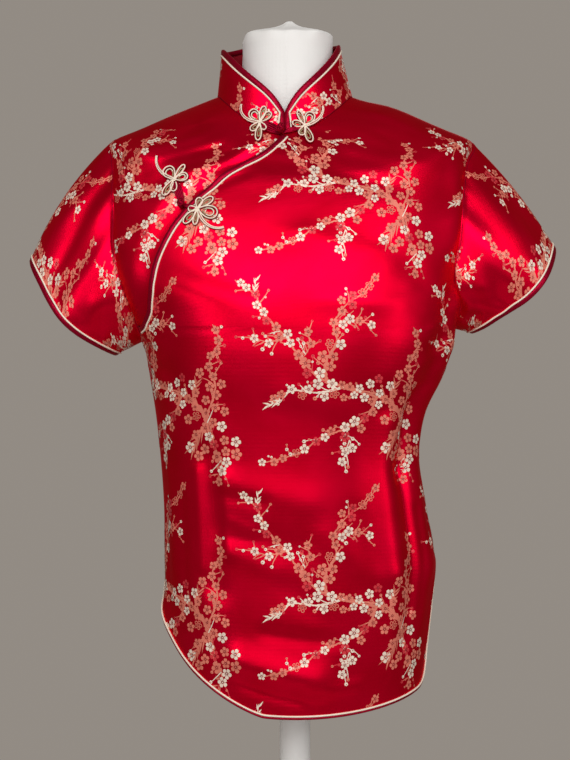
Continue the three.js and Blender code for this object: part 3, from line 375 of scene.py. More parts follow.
CREASES = np.array([
    [-20, 1166, -38, 1132, 5, 1.3], [-31, 1170, -50, 1128, 5, -1.2], [-42, 1172, -62, 1120, 6, 1.2],
    [-14, 1150, -30, 1120, 5, -0.9], [-62, 1150, -70, 1100, 7, -1.2],
    [14, 1150, 36, 1118, 8, -1.2], [26, 1168, 50, 1128, 7, 1.0], [44, 1170, 66, 1132, 8, -1.0],
    [72, 1120, 74, 1060, 7, -1.4], [66, 1010, 60, 960, 8, -1.6], [72, 985, 52, 948, 7, 1.4],
    [76, 955, 54, 925, 7, -1.5], [70, 930, 48, 905, 8, 1.1], [80, 915, 58, 885, 7, -1.2],
    [53, 880, 52, 660, 6, -2.0], [44, 850, 43, 700, 12, 1.4], [60, 760, 58, 650, 6, -1.3],
    [70, 820, 67, 720, 6, -1.4], [76, 700, 72, 620, 8, 1.4], [42, 700, 40, 610, 9, 1.0],
    [-80, 930, -58, 912, 6, 1.3], [-78, 905, -58, 880, 7, -1.2], [-66, 880, -48, 862, 8, 1.0],
    [-42, 800, -40, 705, 5, 1.3], [-29, 795, -28, 720, 5, 1.2], [-52, 770, -50, 660, 8, -1.2],
    [-62, 800, -60, 700, 8, 1.1], [-70, 740, -66, 660, 7, -1.3],
    [-28, 776, -14, 770, 7, -0.8], [-27, 752, -18, 744, 5, 0.6], [-26, 722, -8, 708, 8, 0.5],
    [-30, 790, 5, 770, 16, -1.3], [-30, 745, 0, 728, 14, 1.5], [-27, 736, -16, 733, 4, -0.5],
    [-12, 652, 16, 644, 7, -1.2], [-22, 606, 2, 594, 6, -1.2], [6, 600, 24, 604, 7, 1.0],
    [12, 740, 30, 700, 12, 0.7], [-2, 690, 14, 660, 12, -0.7], [-4, 880, 22, 862, 14, 0.7],
    [41, 845, 40, 700, 15, 1.8], [24, 760, 26, 690, 10, -0.8],
    [-18, 940, 6, 930, 14, -0.9], [10, 985, 34, 975, 13, 1.0], [-32, 1010, -14, 990, 12, -1.0],
    [30, 1060, 44, 1000, 12, -1.1], [4, 1080, 20, 1050, 14, 0.8],
    [132, 900, 120, 800, 8, -1.4], [142, 780, 134, 660, 8, 1.4], [158, 720, 154, 620, 9, -1.3],
    [168, 835, 196, 822, 7, 1.4], [164, 815, 192, 806, 7, -1.2], [176, 870, 206, 860, 8, 1.1],
    [222, 900, 232, 790, 8, 1.4], [226, 780, 230, 660, 9, -1.4], [200, 700, 204, 610, 9, 1.3],
    [140, 985, 116, 958, 7, 1.4], [146, 940, 122, 912, 7, 1.2], [216, 992, 242, 962, 7, 1.4],
    [214, 945, 240, 915, 7, 1.2], [152, 1140, 140, 1080, 9, -1.2], [206, 1140, 220, 1080, 9, -1.2],
    [168, 1165, 196, 1165, 9, 1.2], [104, 900, 102, 780, 7, 1.3], [258, 900, 256, 780, 7, -1.3],
    [-57, 1040, -63, 945, 20, 4.5], [58, 1070, 64, 975, 18, 3.5],
], float)


def table_at(table, at):
    """Smooth lookup: a cubic through the rows, with the distance-weighted mean slope at each."""
    x, y = table[:, 0], table[:, 1:]
    h = np.diff(x)
    slope = np.diff(y, axis=0) / h[:, None]
    mean = (slope[:-1] * h[1:, None] + slope[1:] * h[:-1, None]) / (h[:-1] + h[1:])[:, None]
    mean = np.concatenate([slope[:1], mean, slope[-1:]])
    i = np.clip(np.searchsorted(x, at, side="right") - 1, 0, len(x) - 2)
    t = np.clip((at - x[i]) / h[i], 0, 1)[..., None]
    span = h[i][..., None]
    return ((2 * t**3 - 3 * t**2 + 1) * y[i] + (t**3 - 2 * t**2 + t) * span * mean[i]
            + (3 * t**2 - 2 * t**3) * y[i + 1] + (t**3 - t**2) * span * mean[i + 1])


def ease(t):
    t = np.clip(t, 0, 1)
    return t * t * (3 - 2 * t)


def torso(angle, level):
    left, right, front, back, cx, cy, dip_front, dip_back, power = np.moveaxis(table_at(TORSO, level), -1, 0)
    s, c = np.sin(np.radians(angle)), np.cos(np.radians(angle))
    k = (np.abs(s) ** power + np.abs(c) ** power) ** (-1 / power)
    across = np.where(s < 0, left, right)
    along = np.where(c > 0, front + cy, back - cy)
    dip = np.where(c > 0, dip_front, dip_back) * c * c
    return np.stack([cx + across * s * k, cy - along * c * k, level + dip], -1)


def torso_normal(angle, level):
    around = torso(angle + 0.5, level) - torso(angle - 0.5, level)
    return unit(np.cross(around, torso(angle, level + 0.5) - torso(angle, level - 0.5)))


def off_line(x, y, dx, dy, squash=1.0):
    """Distance of points from the stretch between the origin and (dx, dy)."""
    t = np.clip((x * dx + y * dy) / (dx * dx + dy * dy), 0, 1)
    return np.hypot(x - dx * t, (y - dy * t) * squash)


def fold_height(angle, level):
    height = np.zeros(np.shape(angle))
    for angle1, level1, angle2, level2, width, rise in np.concatenate([FOLDS, CREASES]):
        turn = np.where((angle1 > BACK_FOLDS_FROM) & (angle < 0), angle + 360, angle)
        away = off_line((turn - angle1) * FOLD_MM_PER_DEGREE, level - level1,
                        (angle2 - angle1) * FOLD_MM_PER_DEGREE, level2 - level1)
        height += rise * np.exp(-((away / width) ** 2))
    return height * ease((NECKLINE - level) / COLLAR_FADE)


def cloth_point(angle, level, out=0.0):
    angle, level = np.broadcast_arrays(np.asarray(angle, float), np.asarray(level, float))
    lift = fold_height(angle, level) + out
    return torso(angle, level) + torso_normal(angle, level) * lift[..., None]


# ---------------------------------------------------------------- edges of the panels

ARMHOLE = {
    "left": {"side": -1, "low": 935, "high": 1150, "front": 28, "back": 34},
    "right": {"side": 1, "low": 948, "high": 1150, "front": 28, "back": 34},
}
ARMHOLE_POWER = 2.2
SEAM_ANGLE = 0.06
SLITS = {
    "front_left": {"top": 674, "start": 674, "bottom": 576, "recede": 0, "sweep": 77, "power": 1.2},
    "front_right": {"top": 699, "start": 640, "bottom": 576, "recede": 8, "sweep": 22, "power": 2.5},
    "back_left": {"top": 674, "start": 674, "bottom": 590, "recede": 0, "sweep": 77, "power": 1.2},
    "back_right": {"top": 699, "start": 650, "bottom": 590, "recede": 6, "sweep": 40, "power": 1.8},
}
# Level, angle
OPENING = np.array([
    [935, -90], [941.5, -78.5], [948, -66], [952, -60.5], [966, -54], [989, -48.5], [1008, -45.2],
    [1029, -42.2], [1049, -39.2], [1076, -35.2], [1108, -29.6], [1135, -23.6], [1161, -16.5], [1184, -7.6],
    [1197, 0],
], float)
UNDER = {"foot": 935, "sink": 3.2, "deep": 5, "ramp": 8, "lead": 1.5, "tuck": 8, "whole": 950, "least": 0.5}


def armhole_reach(hole, level):
    half = (hole["high"] - hole["low"]) / 2
    t = np.clip(np.abs((level - hole["low"] - half) / half), 0, 1)
    return (1 - t**ARMHOLE_POWER) ** (1 / ARMHOLE_POWER)


def shortfall(hole, reach, level):
    return np.maximum(hole[reach] * armhole_reach(hole, level), SEAM_ANGLE)


def edge_level(slit, away):
    u = np.clip((away - slit["recede"]) / slit["sweep"], 0, 1)
    t = (1 - (1 - u) ** slit["power"]) ** (1 / slit["power"])
    low = slit["start"] + (slit["bottom"] - slit["start"]) * t
    if not slit["recede"]:
        return low
    side = slit["top"] + (slit["start"] - slit["top"]) * away / slit["recede"]
    return np.where(away < slit["recede"], side, low)


def front_hem(angle):
    left = edge_level(SLITS["front_left"], np.maximum(angle + 90, 0))
    return np.where(angle < 0, left, edge_level(SLITS["front_right"], np.maximum(90 - angle, 0)))


def back_hem(angle):
    left = edge_level(SLITS["back_left"], np.maximum(270 - angle, 0))
    return np.where(angle > 180, left, edge_level(SLITS["back_right"], np.maximum(angle - 90, 0)))


def opening_angle(level):
    return np.interp(level, OPENING[:, 0], OPENING[:, 1])


def left_front(level):
    return -90 + shortfall(ARMHOLE["left"], "front", level)


def front_edges(level):
    left = left_front(level)
    left = np.where(level > ARMHOLE["left"]["low"], np.maximum(left, opening_angle(level)), left)
    return left, 90 - shortfall(ARMHOLE["right"], "front", level)


def back_edges(level):
    return 90 + shortfall(ARMHOLE["right"], "back", level), 270 - shortfall(ARMHOLE["left"], "back", level)


def under_turn(level):
    """The angle where the under front has gone under the opening's edge."""
    return np.maximum(opening_angle(level) - UNDER["lead"], left_front(level) + UNDER["least"])


def under_edges(level):
    return left_front(level), under_turn(level) + UNDER["lead"] + UNDER["tuck"]


def under_sink(angle, level):
    turned = under_turn(level)
    reach = np.minimum(UNDER["ramp"], turned - left_front(level))
    sunk = UNDER["sink"] * ease((angle - turned + reach) / reach)
    return np.where(level < UNDER["whole"], UNDER["deep"], sunk)


def levels_between(marks, step):
    """Levels through the marks, drawn together by each mark's power."""
    levels = [marks[0][0]]
    for (low, _), (high, power) in zip(marks[:-1], marks[1:]):
        count = max(int(round((high - low) / step)), 2)
        t = np.linspace(0, 1, count + 1)[1:]
        levels += list(low + (high - low) * (t**power if power > 0 else 1 - (1 - t) ** -power))
    return np.array(levels)


# Rows over the hems: level, and the power that draws rows together over the mark below, or if
# negative under this one
STEP = 3.4
LEVELS = levels_between([(762, 1), (935, 1), (948, 2), (985, 2), (1115, 1), (1150, -2), (1197, 1)], STEP)


def spread(count, amount=0.5):
    t = np.linspace(0, 1, count)
    return t - amount * np.sin(2 * math.pi * t) / (2 * math.pi)


def panel_grid(edges, hem, columns):
    """Angles and levels of a body panel's points, from its hem up."""
    t = spread(columns)
    left, right = edges(np.array([float(HEM_TOP)]))
    angles = left + (right - left) * t
    foot = hem(angles)
    rows = int((HEM_TOP - foot.min()) / STEP)
    up = np.linspace(0, 1, rows, endpoint=False)[:, None]
    low_levels = foot + (HEM_TOP - foot) * up
    left, right = edges(LEVELS)
    high = left[:, None] + (right - left)[:, None] * t
    angle = np.concatenate([np.broadcast_to(angles, low_levels.shape), high])
    level = np.concatenate([low_levels, np.broadcast_to(LEVELS[:, None], high.shape)])
    return angle, level


def lengths(grid, mid_row, mid_column):
    """Lengths across and up the cloth to a grid's points, from one column and one row."""
    across = np.cumsum(np.linalg.norm(np.diff(grid, axis=1), axis=2), 1)
    up = np.cumsum(np.linalg.norm(np.diff(grid, axis=0), axis=2), 0)
    across, up = np.pad(across, ((0, 0), (1, 0))), np.pad(up, ((1, 0), (0, 0)))
    return across - across[:, [mid_column]], up - up[[mid_row]]


def flat_uv(grid, mid):
    """Lengths along the cloth from a share of its width, and up it from its lowest row's heights."""
    u, v = lengths(grid, 0, int(mid * (grid.shape[1] - 1)))
    return np.stack([u, v + grid[0, :, 2]], -1)


# ---------------------------------------------------------------- collar

COLLAR = {
    "lift": 1.3, "gape": 0.7, "front": 18, "rise": 31, "spread": 11, "back_rise": 4,
    "tall": 8, "tall_from": 50, "tall_over": 60, "tall_to": 272, "tall_fall": 80,
    "lean_left": 5, "lean_right": 14, "lean_front": 6, "lean_back": 6,
}


def collar_height(angle):
    away = np.minimum(angle, 360 - angle)
    rise = COLLAR["rise"] * (1 - np.exp(-away / COLLAR["spread"]))
    tall = ease((angle - COLLAR["tall_from"]) / COLLAR["tall_over"])
    tall = tall * ease((COLLAR["tall_to"] - angle) / COLLAR["tall_fall"])
    return COLLAR["front"] + rise + COLLAR["back_rise"] * (away / 180) ** 2 + COLLAR["tall"] * tall


def collar_point(angle, t):
    s, c = np.sin(np.radians(angle)), np.cos(np.radians(angle))
    point = torso(angle, np.full(np.shape(angle), float(NECKLINE)))
    point[..., 0] -= np.where(s > 0, COLLAR["lean_right"], COLLAR["lean_left"]) * s * t
    point[..., 1] += np.where(c > 0, COLLAR["lean_front"], COLLAR["lean_back"]) * c * t
    point[..., 2] += COLLAR["lift"] + collar_height(angle) * t
    return point


# ---------------------------------------------------------------- sleeves

SLEEVE = {"middle": 2, "depth": 47, "belly": 14, "swell": 15, "inset": 0.45, "head": 0.7, "rows": 52}
SLEEVES = {
    "left": {"upper": (-284, 1021), "lower": (-195, 920), "arch": 18},
    "right": {"upper": (279, 1034), "lower": (193, 944), "arch": 10},
}
# Turn, width, height: the solids' folds, which run along the whole sleeve
SLEEVE_FOLDS = {
    "left": [(60, 24, -5), (105, 22, 3), (250, 26, -4)],
    "right": [(75, 24, 4), (120, 22, -4), (265, 26, -4)],
}
# Turn and share of the length at both ends, width in degrees, height
SLEEVE_CREASES = {
    "left": [
        (20, 0.05, 34, 0.55, 9, 1.3), (42, 0.0, 58, 0.7, 8, -1.5), (74, 0.15, 82, 0.9, 12, -2.2),
        (92, 0.0, 108, 0.75, 13, -2.4), (62, 0.58, 128, 0.5, 20, -4.0), (96, 0.95, 140, 0.8, 8, 1.2),
        (140, 0.05, 118, 0.5, 10, 1.5), (158, 0.0, 150, 0.6, 9, -1.2), (215, 0.05, 226, 0.6, 10, 1.4),
        (268, 0.1, 262, 0.9, 9, -1.4), (300, 0.0, 296, 0.6, 9, 1.2), (332, 0.1, 322, 0.8, 9, -1.1),
    ],
    "right": [
        (18, 0.1, 30, 0.7, 9, -1.2), (38, 0.0, 52, 0.6, 9, 1.3), (68, 0.15, 82, 0.9, 12, -2.2),
        (96, 0.05, 108, 0.8, 13, -3.0), (142, 0.3, 120, 0.95, 8, 2.2), (90, 0.62, 140, 0.5, 12, -1.6),
        (132, 0.05, 112, 0.55, 10, 1.6), (152, 0.0, 144, 0.6, 9, -1.4), (210, 0.05, 222, 0.6, 10, 1.3),
        (248, 0.1, 256, 0.9, 9, -1.4), (292, 0.1, 284, 0.8, 9, 1.3), (326, 0.0, 338, 0.7, 9, -1.2),
    ],
}
CREASE_LENGTH = 100  # a crease's share of the length, in the degrees that its turn has
CREASE_SQUASH = 0.6
GATHERS = {"height": 0.5, "reach": 0.05, "count": 37, "uneven": 5}
ARMHOLE_BOTTOM = 69  # the loop's point under the arm


def armhole_loop(hole):
    """Angle and level round an armhole: from the shoulder tip down its front and up its back."""
    turn = np.linspace(0, math.pi, ARMHOLE_BOTTOM + 1)
    level = (hole["low"] + hole["high"]) / 2 + (hole["high"] - hole["low"]) / 2 * np.cos(turn)
    front = hole["side"] * (90 - hole["front"] * armhole_reach(hole, level))
    back = hole["side"] * (90 + hole["back"] * armhole_reach(hole, level))
    return np.concatenate([front, back[::-1][1:-1]]), np.concatenate([level, level[::-1][1:-1]])


def sleeve_turns(edge):
    """Turn of each point of the armhole: 0 at the shoulder tip, 180 under the arm."""
    step = np.linalg.norm(np.roll(edge, -1, 0) - edge, axis=1)
    run = np.concatenate([[0], np.cumsum(step)[:-1]])
    half = run[ARMHOLE_BOTTOM]
    behind = 180 + 180 * (run - half) / (step.sum() - half)
    return np.where(np.arange(len(edge)) <= ARMHOLE_BOTTOM, 180 * run / half, behind)


def sleeve_lift(name, t, turn):
    """Heights of the folds, creases and gathers over the sleeve's plain form."""
    lift = np.zeros(t.shape)
    for around, width, height in SLEEVE_FOLDS[name]:
        lift += height * np.exp(-(((turn - around) / width) ** 2))
    lift *= np.sin(math.pi * np.minimum(t * 0.6, 0.5)) ** 2
    fade = ease(t / 0.06) * ease((1 - t) / 0.15 + 0.2)
    for turn1, t1, turn2, t2, width, height in SLEEVE_CREASES[name]:
        away = off_line(turn - turn1, (t - t1) * CREASE_LENGTH, turn2 - turn1, (t2 - t1) * CREASE_LENGTH,
                        CREASE_SQUASH)
        lift += height * fade * np.exp(-((away / width) ** 2))
    turn = np.radians(turn)
    gather = np.exp(-t / GATHERS["reach"]) * np.maximum(np.cos(turn), 0) ** 0.5
    wave = np.sin(turn * GATHERS["count"] + 2 * np.sin(turn * GATHERS["uneven"]))
    return lift + GATHERS["height"] * gather * wave


def sleeve_grid(name):
    """Points and normals of a sleeve, from the armhole to the cuff."""
    hole, cut = ARMHOLE[name], SLEEVES[name]
    side = hole["side"]
    angle, level = armhole_loop(hole)
    edge = cloth_point(angle, level)
    turns = sleeve_turns(edge)
    middle = edge.mean(0)
    inward = unit(np.cross(torso_normal(angle, level), np.roll(edge, -1, 0) - np.roll(edge, 1, 0)))
    inward *= np.sign((inward * (middle - edge)).sum(1))[:, None]
    start = edge + inward * SLEEVE["inset"]
    top, foot = (np.array([x, SLEEVE["middle"], z], float) for x, z in (cut["upper"], cut["lower"]))
    centre, axis = (top + foot) / 2, (top - foot) / 2
    out = unit(np.array([side * axis[2], 0, -abs(axis[0])]))
    s, c = np.sin(np.radians(turns))[:, None], np.cos(np.radians(turns))[:, None]
    front = np.array([0, -1.0, 0])
    end = centre + axis * c + front * SLEEVE["depth"] * s + out * SLEEVE["belly"] * s * s
    head = np.array([side * SLEEVE["head"], 0, SLEEVE["head"]])
    control = (start + end) / 2 + head * cut["arch"] * np.maximum(c, 0) ** 2 + front * SLEEVE["swell"] * s
    t = np.linspace(0, 1, SLEEVE["rows"])[:, None, None]
    grid = start * (1 - t) ** 2 + control * 2 * t * (1 - t) + end * t * t
    normal = grid_normals(grid, True)
    normal *= np.sign((normal * (grid - middle - (centre - middle) * t)).sum(-1).mean())
    grid = grid + normal * sleeve_lift(name, *np.broadcast_arrays(t[..., 0], turns[None]))[..., None]
    creased = grid_normals(grid, True)
    return grid, creased * np.sign((creased * normal).sum(-1))[..., None]


# ---------------------------------------------------------------- cloth pieces

stuff = cloth_materials()
wefts = [weft_material(name, *look) for name, look in WEFTS.items()]

FRONT_COLUMNS, BACK_COLUMNS, UNDER_COLUMNS = 128, 120, 60
COLLAR_COLUMNS, COLLAR_ROWS, COLLAR_DRAW = 190, 16, 0.75

front_angle, front_level = panel_grid(front_edges, front_hem, FRONT_COLUMNS)
under_levels = LEVELS[LEVELS >= UNDER["foot"]]
under_left, under_right = under_edges(under_levels)
under_angle = under_left[:, None] + (under_right - under_left)[:, None] * np.linspace(0, 1, UNDER_COLUMNS)
under_level = np.broadcast_to(under_levels[:, None], under_angle.shape)
collar_angle = COLLAR["gape"] + (360 - 2 * COLLAR["gape"]) * spread(COLLAR_COLUMNS, COLLAR_DRAW)
collar_share = np.linspace(0, 1, COLLAR_ROWS)
grids = {
    "front_main": cloth_point(front_angle, front_level),
    "back": cloth_point(*panel_grid(back_edges, back_hem, BACK_COLUMNS)),
    "front_under": cloth_point(under_angle, under_level, -under_sink(under_angle, under_level)),
    "collar": collar_point(*np.broadcast_arrays(collar_angle[None], collar_share[:, None])),
}
normals = {name: grid_normals(grid) for name, grid in grids.items()}
for name in ("left", "right"):
    grids[f"sleeve_{name}"], normals[f"sleeve_{name}"] = sleeve_grid(name)

# Share of the width where a panel's lengths start
MIDDLE = {
    "front_main": 0.5, "back": 0.5, "front_under": 1.0, "collar": 0.5, "sleeve_left": 0, "sleeve_right": 0,
}
pieces = {}
for name, grid in grids.items():
    pieces[name] = shell(name, grid, flat_uv(grid, MIDDLE[name]), normals[name], name.startswith("sleeve"))
    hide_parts(name)


# ---------------------------------------------------------------- bindings and piping

# Section of a binding folded over the cloth's edge: distance in from the edge, height on the cloth.
BINDING_WIDTH = 5.0
BINDING = np.array([
    (5.0, 0.95), (4.7, 1.5), (2.6, 1.95), (0.6, 1.9), (-0.55, 1.35), (-0.95, 0.2), (-0.8, -0.9), (0.2, -1.5),
    (2.2, -1.65), (4.6, -1.3), (4.8, -0.9),
])
ROLLED = 0.36  # share of the width that shows at the hems, where the binding rolls to the inside
PUCKER = 0.06
PIPING = {"beyond": 1.0, "radius": 0.95, "height": 0.969, "up": 0.8, "sides": 10}
STITCH = {"long": 1.3, "radius": 0.2, "in": 0.75, "up": 1.62, "sides": 5}
STITCH_RINGS = ((-0.5, 0.4), (-0.36, 1), (0.36, 1), (0.5, 0.4))  # share of the length, size
TRIM_STEP = 2.0


def tube_uvs(rings, around):
    return np.stack([np.repeat(np.arange(rings) * TRIM_STEP, len(around)), np.tile(around, rings)], 1)


def stitches(name, at, along, out):
    """A row of short stitches: capsules centred at points, each along its direction."""
    across = unit(np.cross(along, out))
    sides = STITCH["sides"]
    turn = 2 * math.pi * np.arange(sides)[None, :, None] / sides
    section = STITCH["radius"] * (across[:, None] * np.cos(turn) + out[:, None] * np.sin(turn))
    rings = [(at + along * STITCH["long"] * share)[:, None] + section * size for share, size in STITCH_RINGS]
    points = np.stack(rings, 1).reshape(-1, 3)
    one = grid_faces(len(rings), sides, True)
    faces = (one[None] + (np.arange(len(at)) * len(rings) * sides)[:, None, None]).reshape(-1, 4)
    return add_mesh(name, points, faces, [stuff["bias"]], uvs=points[:, [0, 2]], slot="binding")


def trim(name, edge, inside, normal, closed=False):
    """Binding, piping cord and stitches along a panel's edge; `inside` lies in from it."""
    line = resample(np.concatenate([edge, inside, normal], 1), TRIM_STEP, closed)
    edge, inside, normal = line[:, :3], line[:, 3:6], unit(line[:, 6:])
    inward = unit(np.cross(normal, along_line(edge, closed)))
    inward *= np.sign((inward * (inside - edge)).sum(1).mean())
    inward = smooth(inward, 2, closed)
    count = np.arange(len(edge))

    inset, rise = BINDING[:, 0].copy(), BINDING[:, 1]
    share = ROLLED if "hem" in name else 1
    inset[(rise > 0) & (inset > 0)] *= share
    pucker = 1 + PUCKER * np.sin(count * 1.9 + 2 * np.sin(count * 0.37))
    height = rise[None] * np.where(rise[None] > 0, pucker[:, None], 1)
    rings = edge[:, None] + inward[:, None] * inset[None, :, None] + normal[:, None] * height[..., None]
    points, faces = sweep(rings, closed)
    band = add_mesh(f"binding_{name}_cloth", points, faces, [stuff["bias"]],
                    uvs=tube_uvs(len(edge), inset * 2), slot="binding")
    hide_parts(f"binding_{name}")

    shown = BINDING_WIDTH * share
    line = edge + inward * (shown + PIPING["beyond"])
    sections = cord(line, normal, PIPING["radius"], PIPING["height"], PIPING["sides"], closed)
    points, faces = sweep(sections + (normal * (FACE + PIPING["up"]))[:, None], closed)
    pipe = add_mesh(f"piping_{name}_cord", points, faces, [stuff["cream"]],
                    uvs=tube_uvs(len(edge), np.arange(PIPING["sides"]) * 1.0)[:, ::-1], slot="piping")
    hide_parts(f"piping_{name}")

    row = edge + inward * (shown - STITCH["in"]) + normal * STITCH["up"]
    sewn = stitches(f"stitches_{name}", row[1:-1], along_line(edge, True)[1:-1], normal[1:-1])
    return [band, pipe, sewn]


def row_edge(name, row, inner):
    return grids[name][row], grids[name][inner], normals[name][row]


trims = {
    "front_main": trim("front_hem", *row_edge("front_main", 0, 2)),
    "back": trim("back_hem", *row_edge("back", 0, 2)),
    "front_under": [],
}
OPENING_FOOT = 946
grid, normal = grids["front_main"], normals["front_main"]
order = np.flatnonzero(front_level[:, 0] > OPENING_FOOT)[::-1][1:]
trims["front_main"] += trim("opening", grid[order, 0], grid[order, 3], normal[order, 0])
for name in ("left", "right"):
    trims[f"sleeve_{name}"] = trim(f"cuff_{name}", *row_edge(f"sleeve_{name}", -1, -3), closed=True)


def three_sides(grid, rows=0, columns=0):
    """Up a grid's last column, back along its top and down its first, some rows and columns in."""
    return np.concatenate([grid[:, -1 - columns], grid[-1 - rows, -2:0:-1], grid[::-1, columns]])


grid = grids["collar"]
trims["collar"] = trim("collar", smooth(three_sides(grid), 3), smooth(three_sides(grid, 2, 4), 3),
                       three_sides(normals["collar"]))


# ---------------------------------------------------------------- dress form

FORM = {
    "bottom": 658, "level": 762, "top": 1190, "row": 9, "turn": 4, "inset": 10, "round": 8,
    "shoulder": 2.15, "shoulder_from": 1120, "shoulder_over": 40,
}
# Height over the form's end, share of the first ring: its rounded edge
FORM_FOOT = [(0.4, 0.93), (2.5, 0.975)]
# Level, radius, depth, dip at the front
NECK = np.array([
    [1196, 62, 60, -50], [1203, 55, 52, -42], [1222, 50, 50, -22], [1245, 48.5, 49, -5], [1260, 48, 48, -6],
    [1263.5, 46.5, 46.5, -6], [1265, 44, 44, -6], [1268, 33, 33, -5], [1271, 20, 20, -3], [1275, 9, 9, -1],
    [1279, 3.5, 3.5, 0],
], float)
NECK_CENTRE, NECK_PEAK = np.array([-8, 3]), np.array([-6, 1])
NECK_LEVELS = np.concatenate([np.arange(1203, 1259, 4.0), np.arange(1260, 1280, 1.25)])
# The cover is gathered to the peak: levels where that and the lean start, run, height, count
GATHER = {"from": 1252, "lean_from": 1255, "over": 20, "height": 0.0315, "count": 9}


def form_rings():
    turn = np.arange(0, 360, float(FORM["turn"]))
    s, c = np.sin(np.radians(turn)), np.cos(np.radians(turn))
    rings = []
    for level in [*np.arange(FORM["bottom"] + FORM["round"], FORM["top"], float(FORM["row"])), 1192, 1195]:
        at = np.full(len(turn), float(level))
        seated = ease((at - FORM["shoulder_from"]) / FORM["shoulder_over"]) * np.abs(s) ** 8
        inset = FORM["inset"] + (FORM["shoulder"] - FORM["inset"]) * seated
        ring = torso(turn, at) - torso_normal(turn, at) * inset[:, None]
        if level < FORM["level"]:
            ring[:, 2] = level
        rings.append(ring)
    foot = []
    for up, share in FORM_FOOT:
        foot.append(rings[0] * [share, share, 1])
        foot[-1][:, 2] = FORM["bottom"] + up
    rings = foot + rings
    for level in NECK_LEVELS:
        radius, depth, dip = table_at(NECK, np.array([level]))[0]
        gather = ease((level - GATHER["from"]) / GATHER["over"]) * GATHER["height"]
        wave = 1 + gather * np.sin(np.radians(turn) * GATHER["count"] + 1.5 * np.sin(np.radians(turn) * 2))
        lean = ease((level - GATHER["lean_from"]) / GATHER["over"])
        x, y = NECK_CENTRE + (NECK_PEAK - NECK_CENTRE) * lean
        height = level + np.where(c > 0, dip * c * c, 0)
        rings.append(np.stack([x + radius * s * wave, y - depth * c * wave, height], 1))
    return np.array(rings)


jersey = woven(
    material("jersey_white", (0.88, 0.87, 0.86), 0.85, Sheen_Weight=0.25), (0.85, 0.845, 0.83),
    (0.91, 0.905, 0.895), threads=(45, 65), strength=0.3, slub=0.2, patch=9,
)
rings = form_rings()
form_uv = np.stack([np.tile(np.arange(rings.shape[1]) * 6.0, len(rings)), rings[..., 2].ravel()], 1)
form = add_mesh("form_body_cover", *sweep(rings), [jersey], uvs=form_uv, sharp=60, slot="jersey")
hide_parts("form_body")

painted = material("painted_white", (0.88, 0.88, 0.87), 0.42)
grain = node(painted, "ShaderNodeTexNoise", Scale=900.0, Detail=2.0)
orange_peel = node(painted, "ShaderNodeBump", Strength=0.08, Distance=0.0004)
link(painted, node(painted, "ShaderNodeTexCoord").outputs["Object"], grain.inputs["Vector"])
link(painted, grain.outputs["Fac"], orange_peel.inputs["Height"])
link(painted, orange_peel.outputs["Normal"], painted.node_tree.nodes["Principled BSDF"].inputs["Normal"])

# Turned solids about the pole's axis: piece, radius and height of each corner
TURNED = {
    "form_pole": ("tube", [(16.0, 15.4), (16.5, 15.9), (16.5, 656.8), (16.0, 657.4)]),
    "form_base": ("plate", [
        (162, 0.1), (164.3, 0.8), (165, 2.5), (165, 7), (164.2, 8.6), (161, 10.6), (120, 12.4), (60, 14.2),
        (31, 15), (30, 15), (24, 15), (17, 15),
    ]),
}
for name, (kind, profile) in TURNED.items():
    turn = 2 * math.pi * np.arange(72) / 72
    rings = np.array([np.stack([r * np.cos(turn), r * np.sin(turn), np.full(72, z)], 1) for r, z in profile])
    made = add_mesh(f"{name}_{kind}", *sweep(rings), [painted], sharp=35, slot="painted")
    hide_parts(name)

FLOOR = {"radius": 1.45, "sides": 96, "level": -0.0002}
turn = 2 * math.pi * np.arange(FLOOR["sides"]) / FLOOR["sides"]
floor_mesh = bpy.data.meshes.new("floor")
rim = [(FLOOR["radius"] * math.cos(a), FLOOR["radius"] * math.sin(a), FLOOR["level"]) for a in turn]
floor_mesh.from_pydata(rim, [], [list(range(FLOOR["sides"]))])
floor_mesh.materials.append(material("floor_pale", (0.5, 0.48, 0.45), 0.8))
floor = bpy.data.objects.new("floor", floor_mesh)
bpy.context.scene.collection.objects.link(floor)

add_camera()
add_lights()


# ---------------------------------------------------------------- frogs and knots

def reach_tree(names):
    """The outer surfaces that frogs lie on, in mm."""
    points, faces = [], []
    for piece in names:
        base = len(points)
        points += [tuple(v.co / MM) for v in piece.data.vertices]
        faces += [[base + i for i in polygon.vertices] for polygon in piece.data.polygons]
    return BVHTree.FromPolygons(points, faces)


seat = reach_tree([pieces["front_main"], pieces["front_under"], pieces["collar"],
                   *trims["collar"], *[p for p in trims["front_main"] if "opening" in p.name]])
LEAN_REACH = 8


def front_depth(x, z):
    hit = seat.ray_cast(Vector((x, -400, z)), Vector((0, 1, 0)))[0]
    return hit.y if hit else np.nan


def seated(points, half):
    """3-D points in front of the cloth under (x, z) points, at the frontmost depth nearby."""
    depth = []
    for x, z in points:
        steps = ((0, 0), (half, 0), (-half, 0), (0, half), (0, -half))
        near = [front_depth(x + dx, z + dz) for dx, dz in steps]
        depth.append(np.nanmin(near) if not all(np.isnan(near)) else np.nan)
    depth = np.array(depth)
    depth[np.isnan(depth)] = np.nanmean(depth)
    for _ in range(2):
        padded = np.pad(depth, 1, mode="edge")
        depth = np.minimum(depth, (padded[:-2] + padded[1:-1] + padded[2:]) / 3)
    return np.stack([points[:, 0], depth, points[:, 1]], 1)


def cloth_lean(x, z):
    d = LEAN_REACH
    slope_x = (front_depth(x + d, z) - front_depth(x - d, z)) / (2 * d)
    slope_z = (front_depth(x, z + d) - front_depth(x, z - d)) / (2 * d)
    return unit(np.array([slope_x, -1, slope_z]))


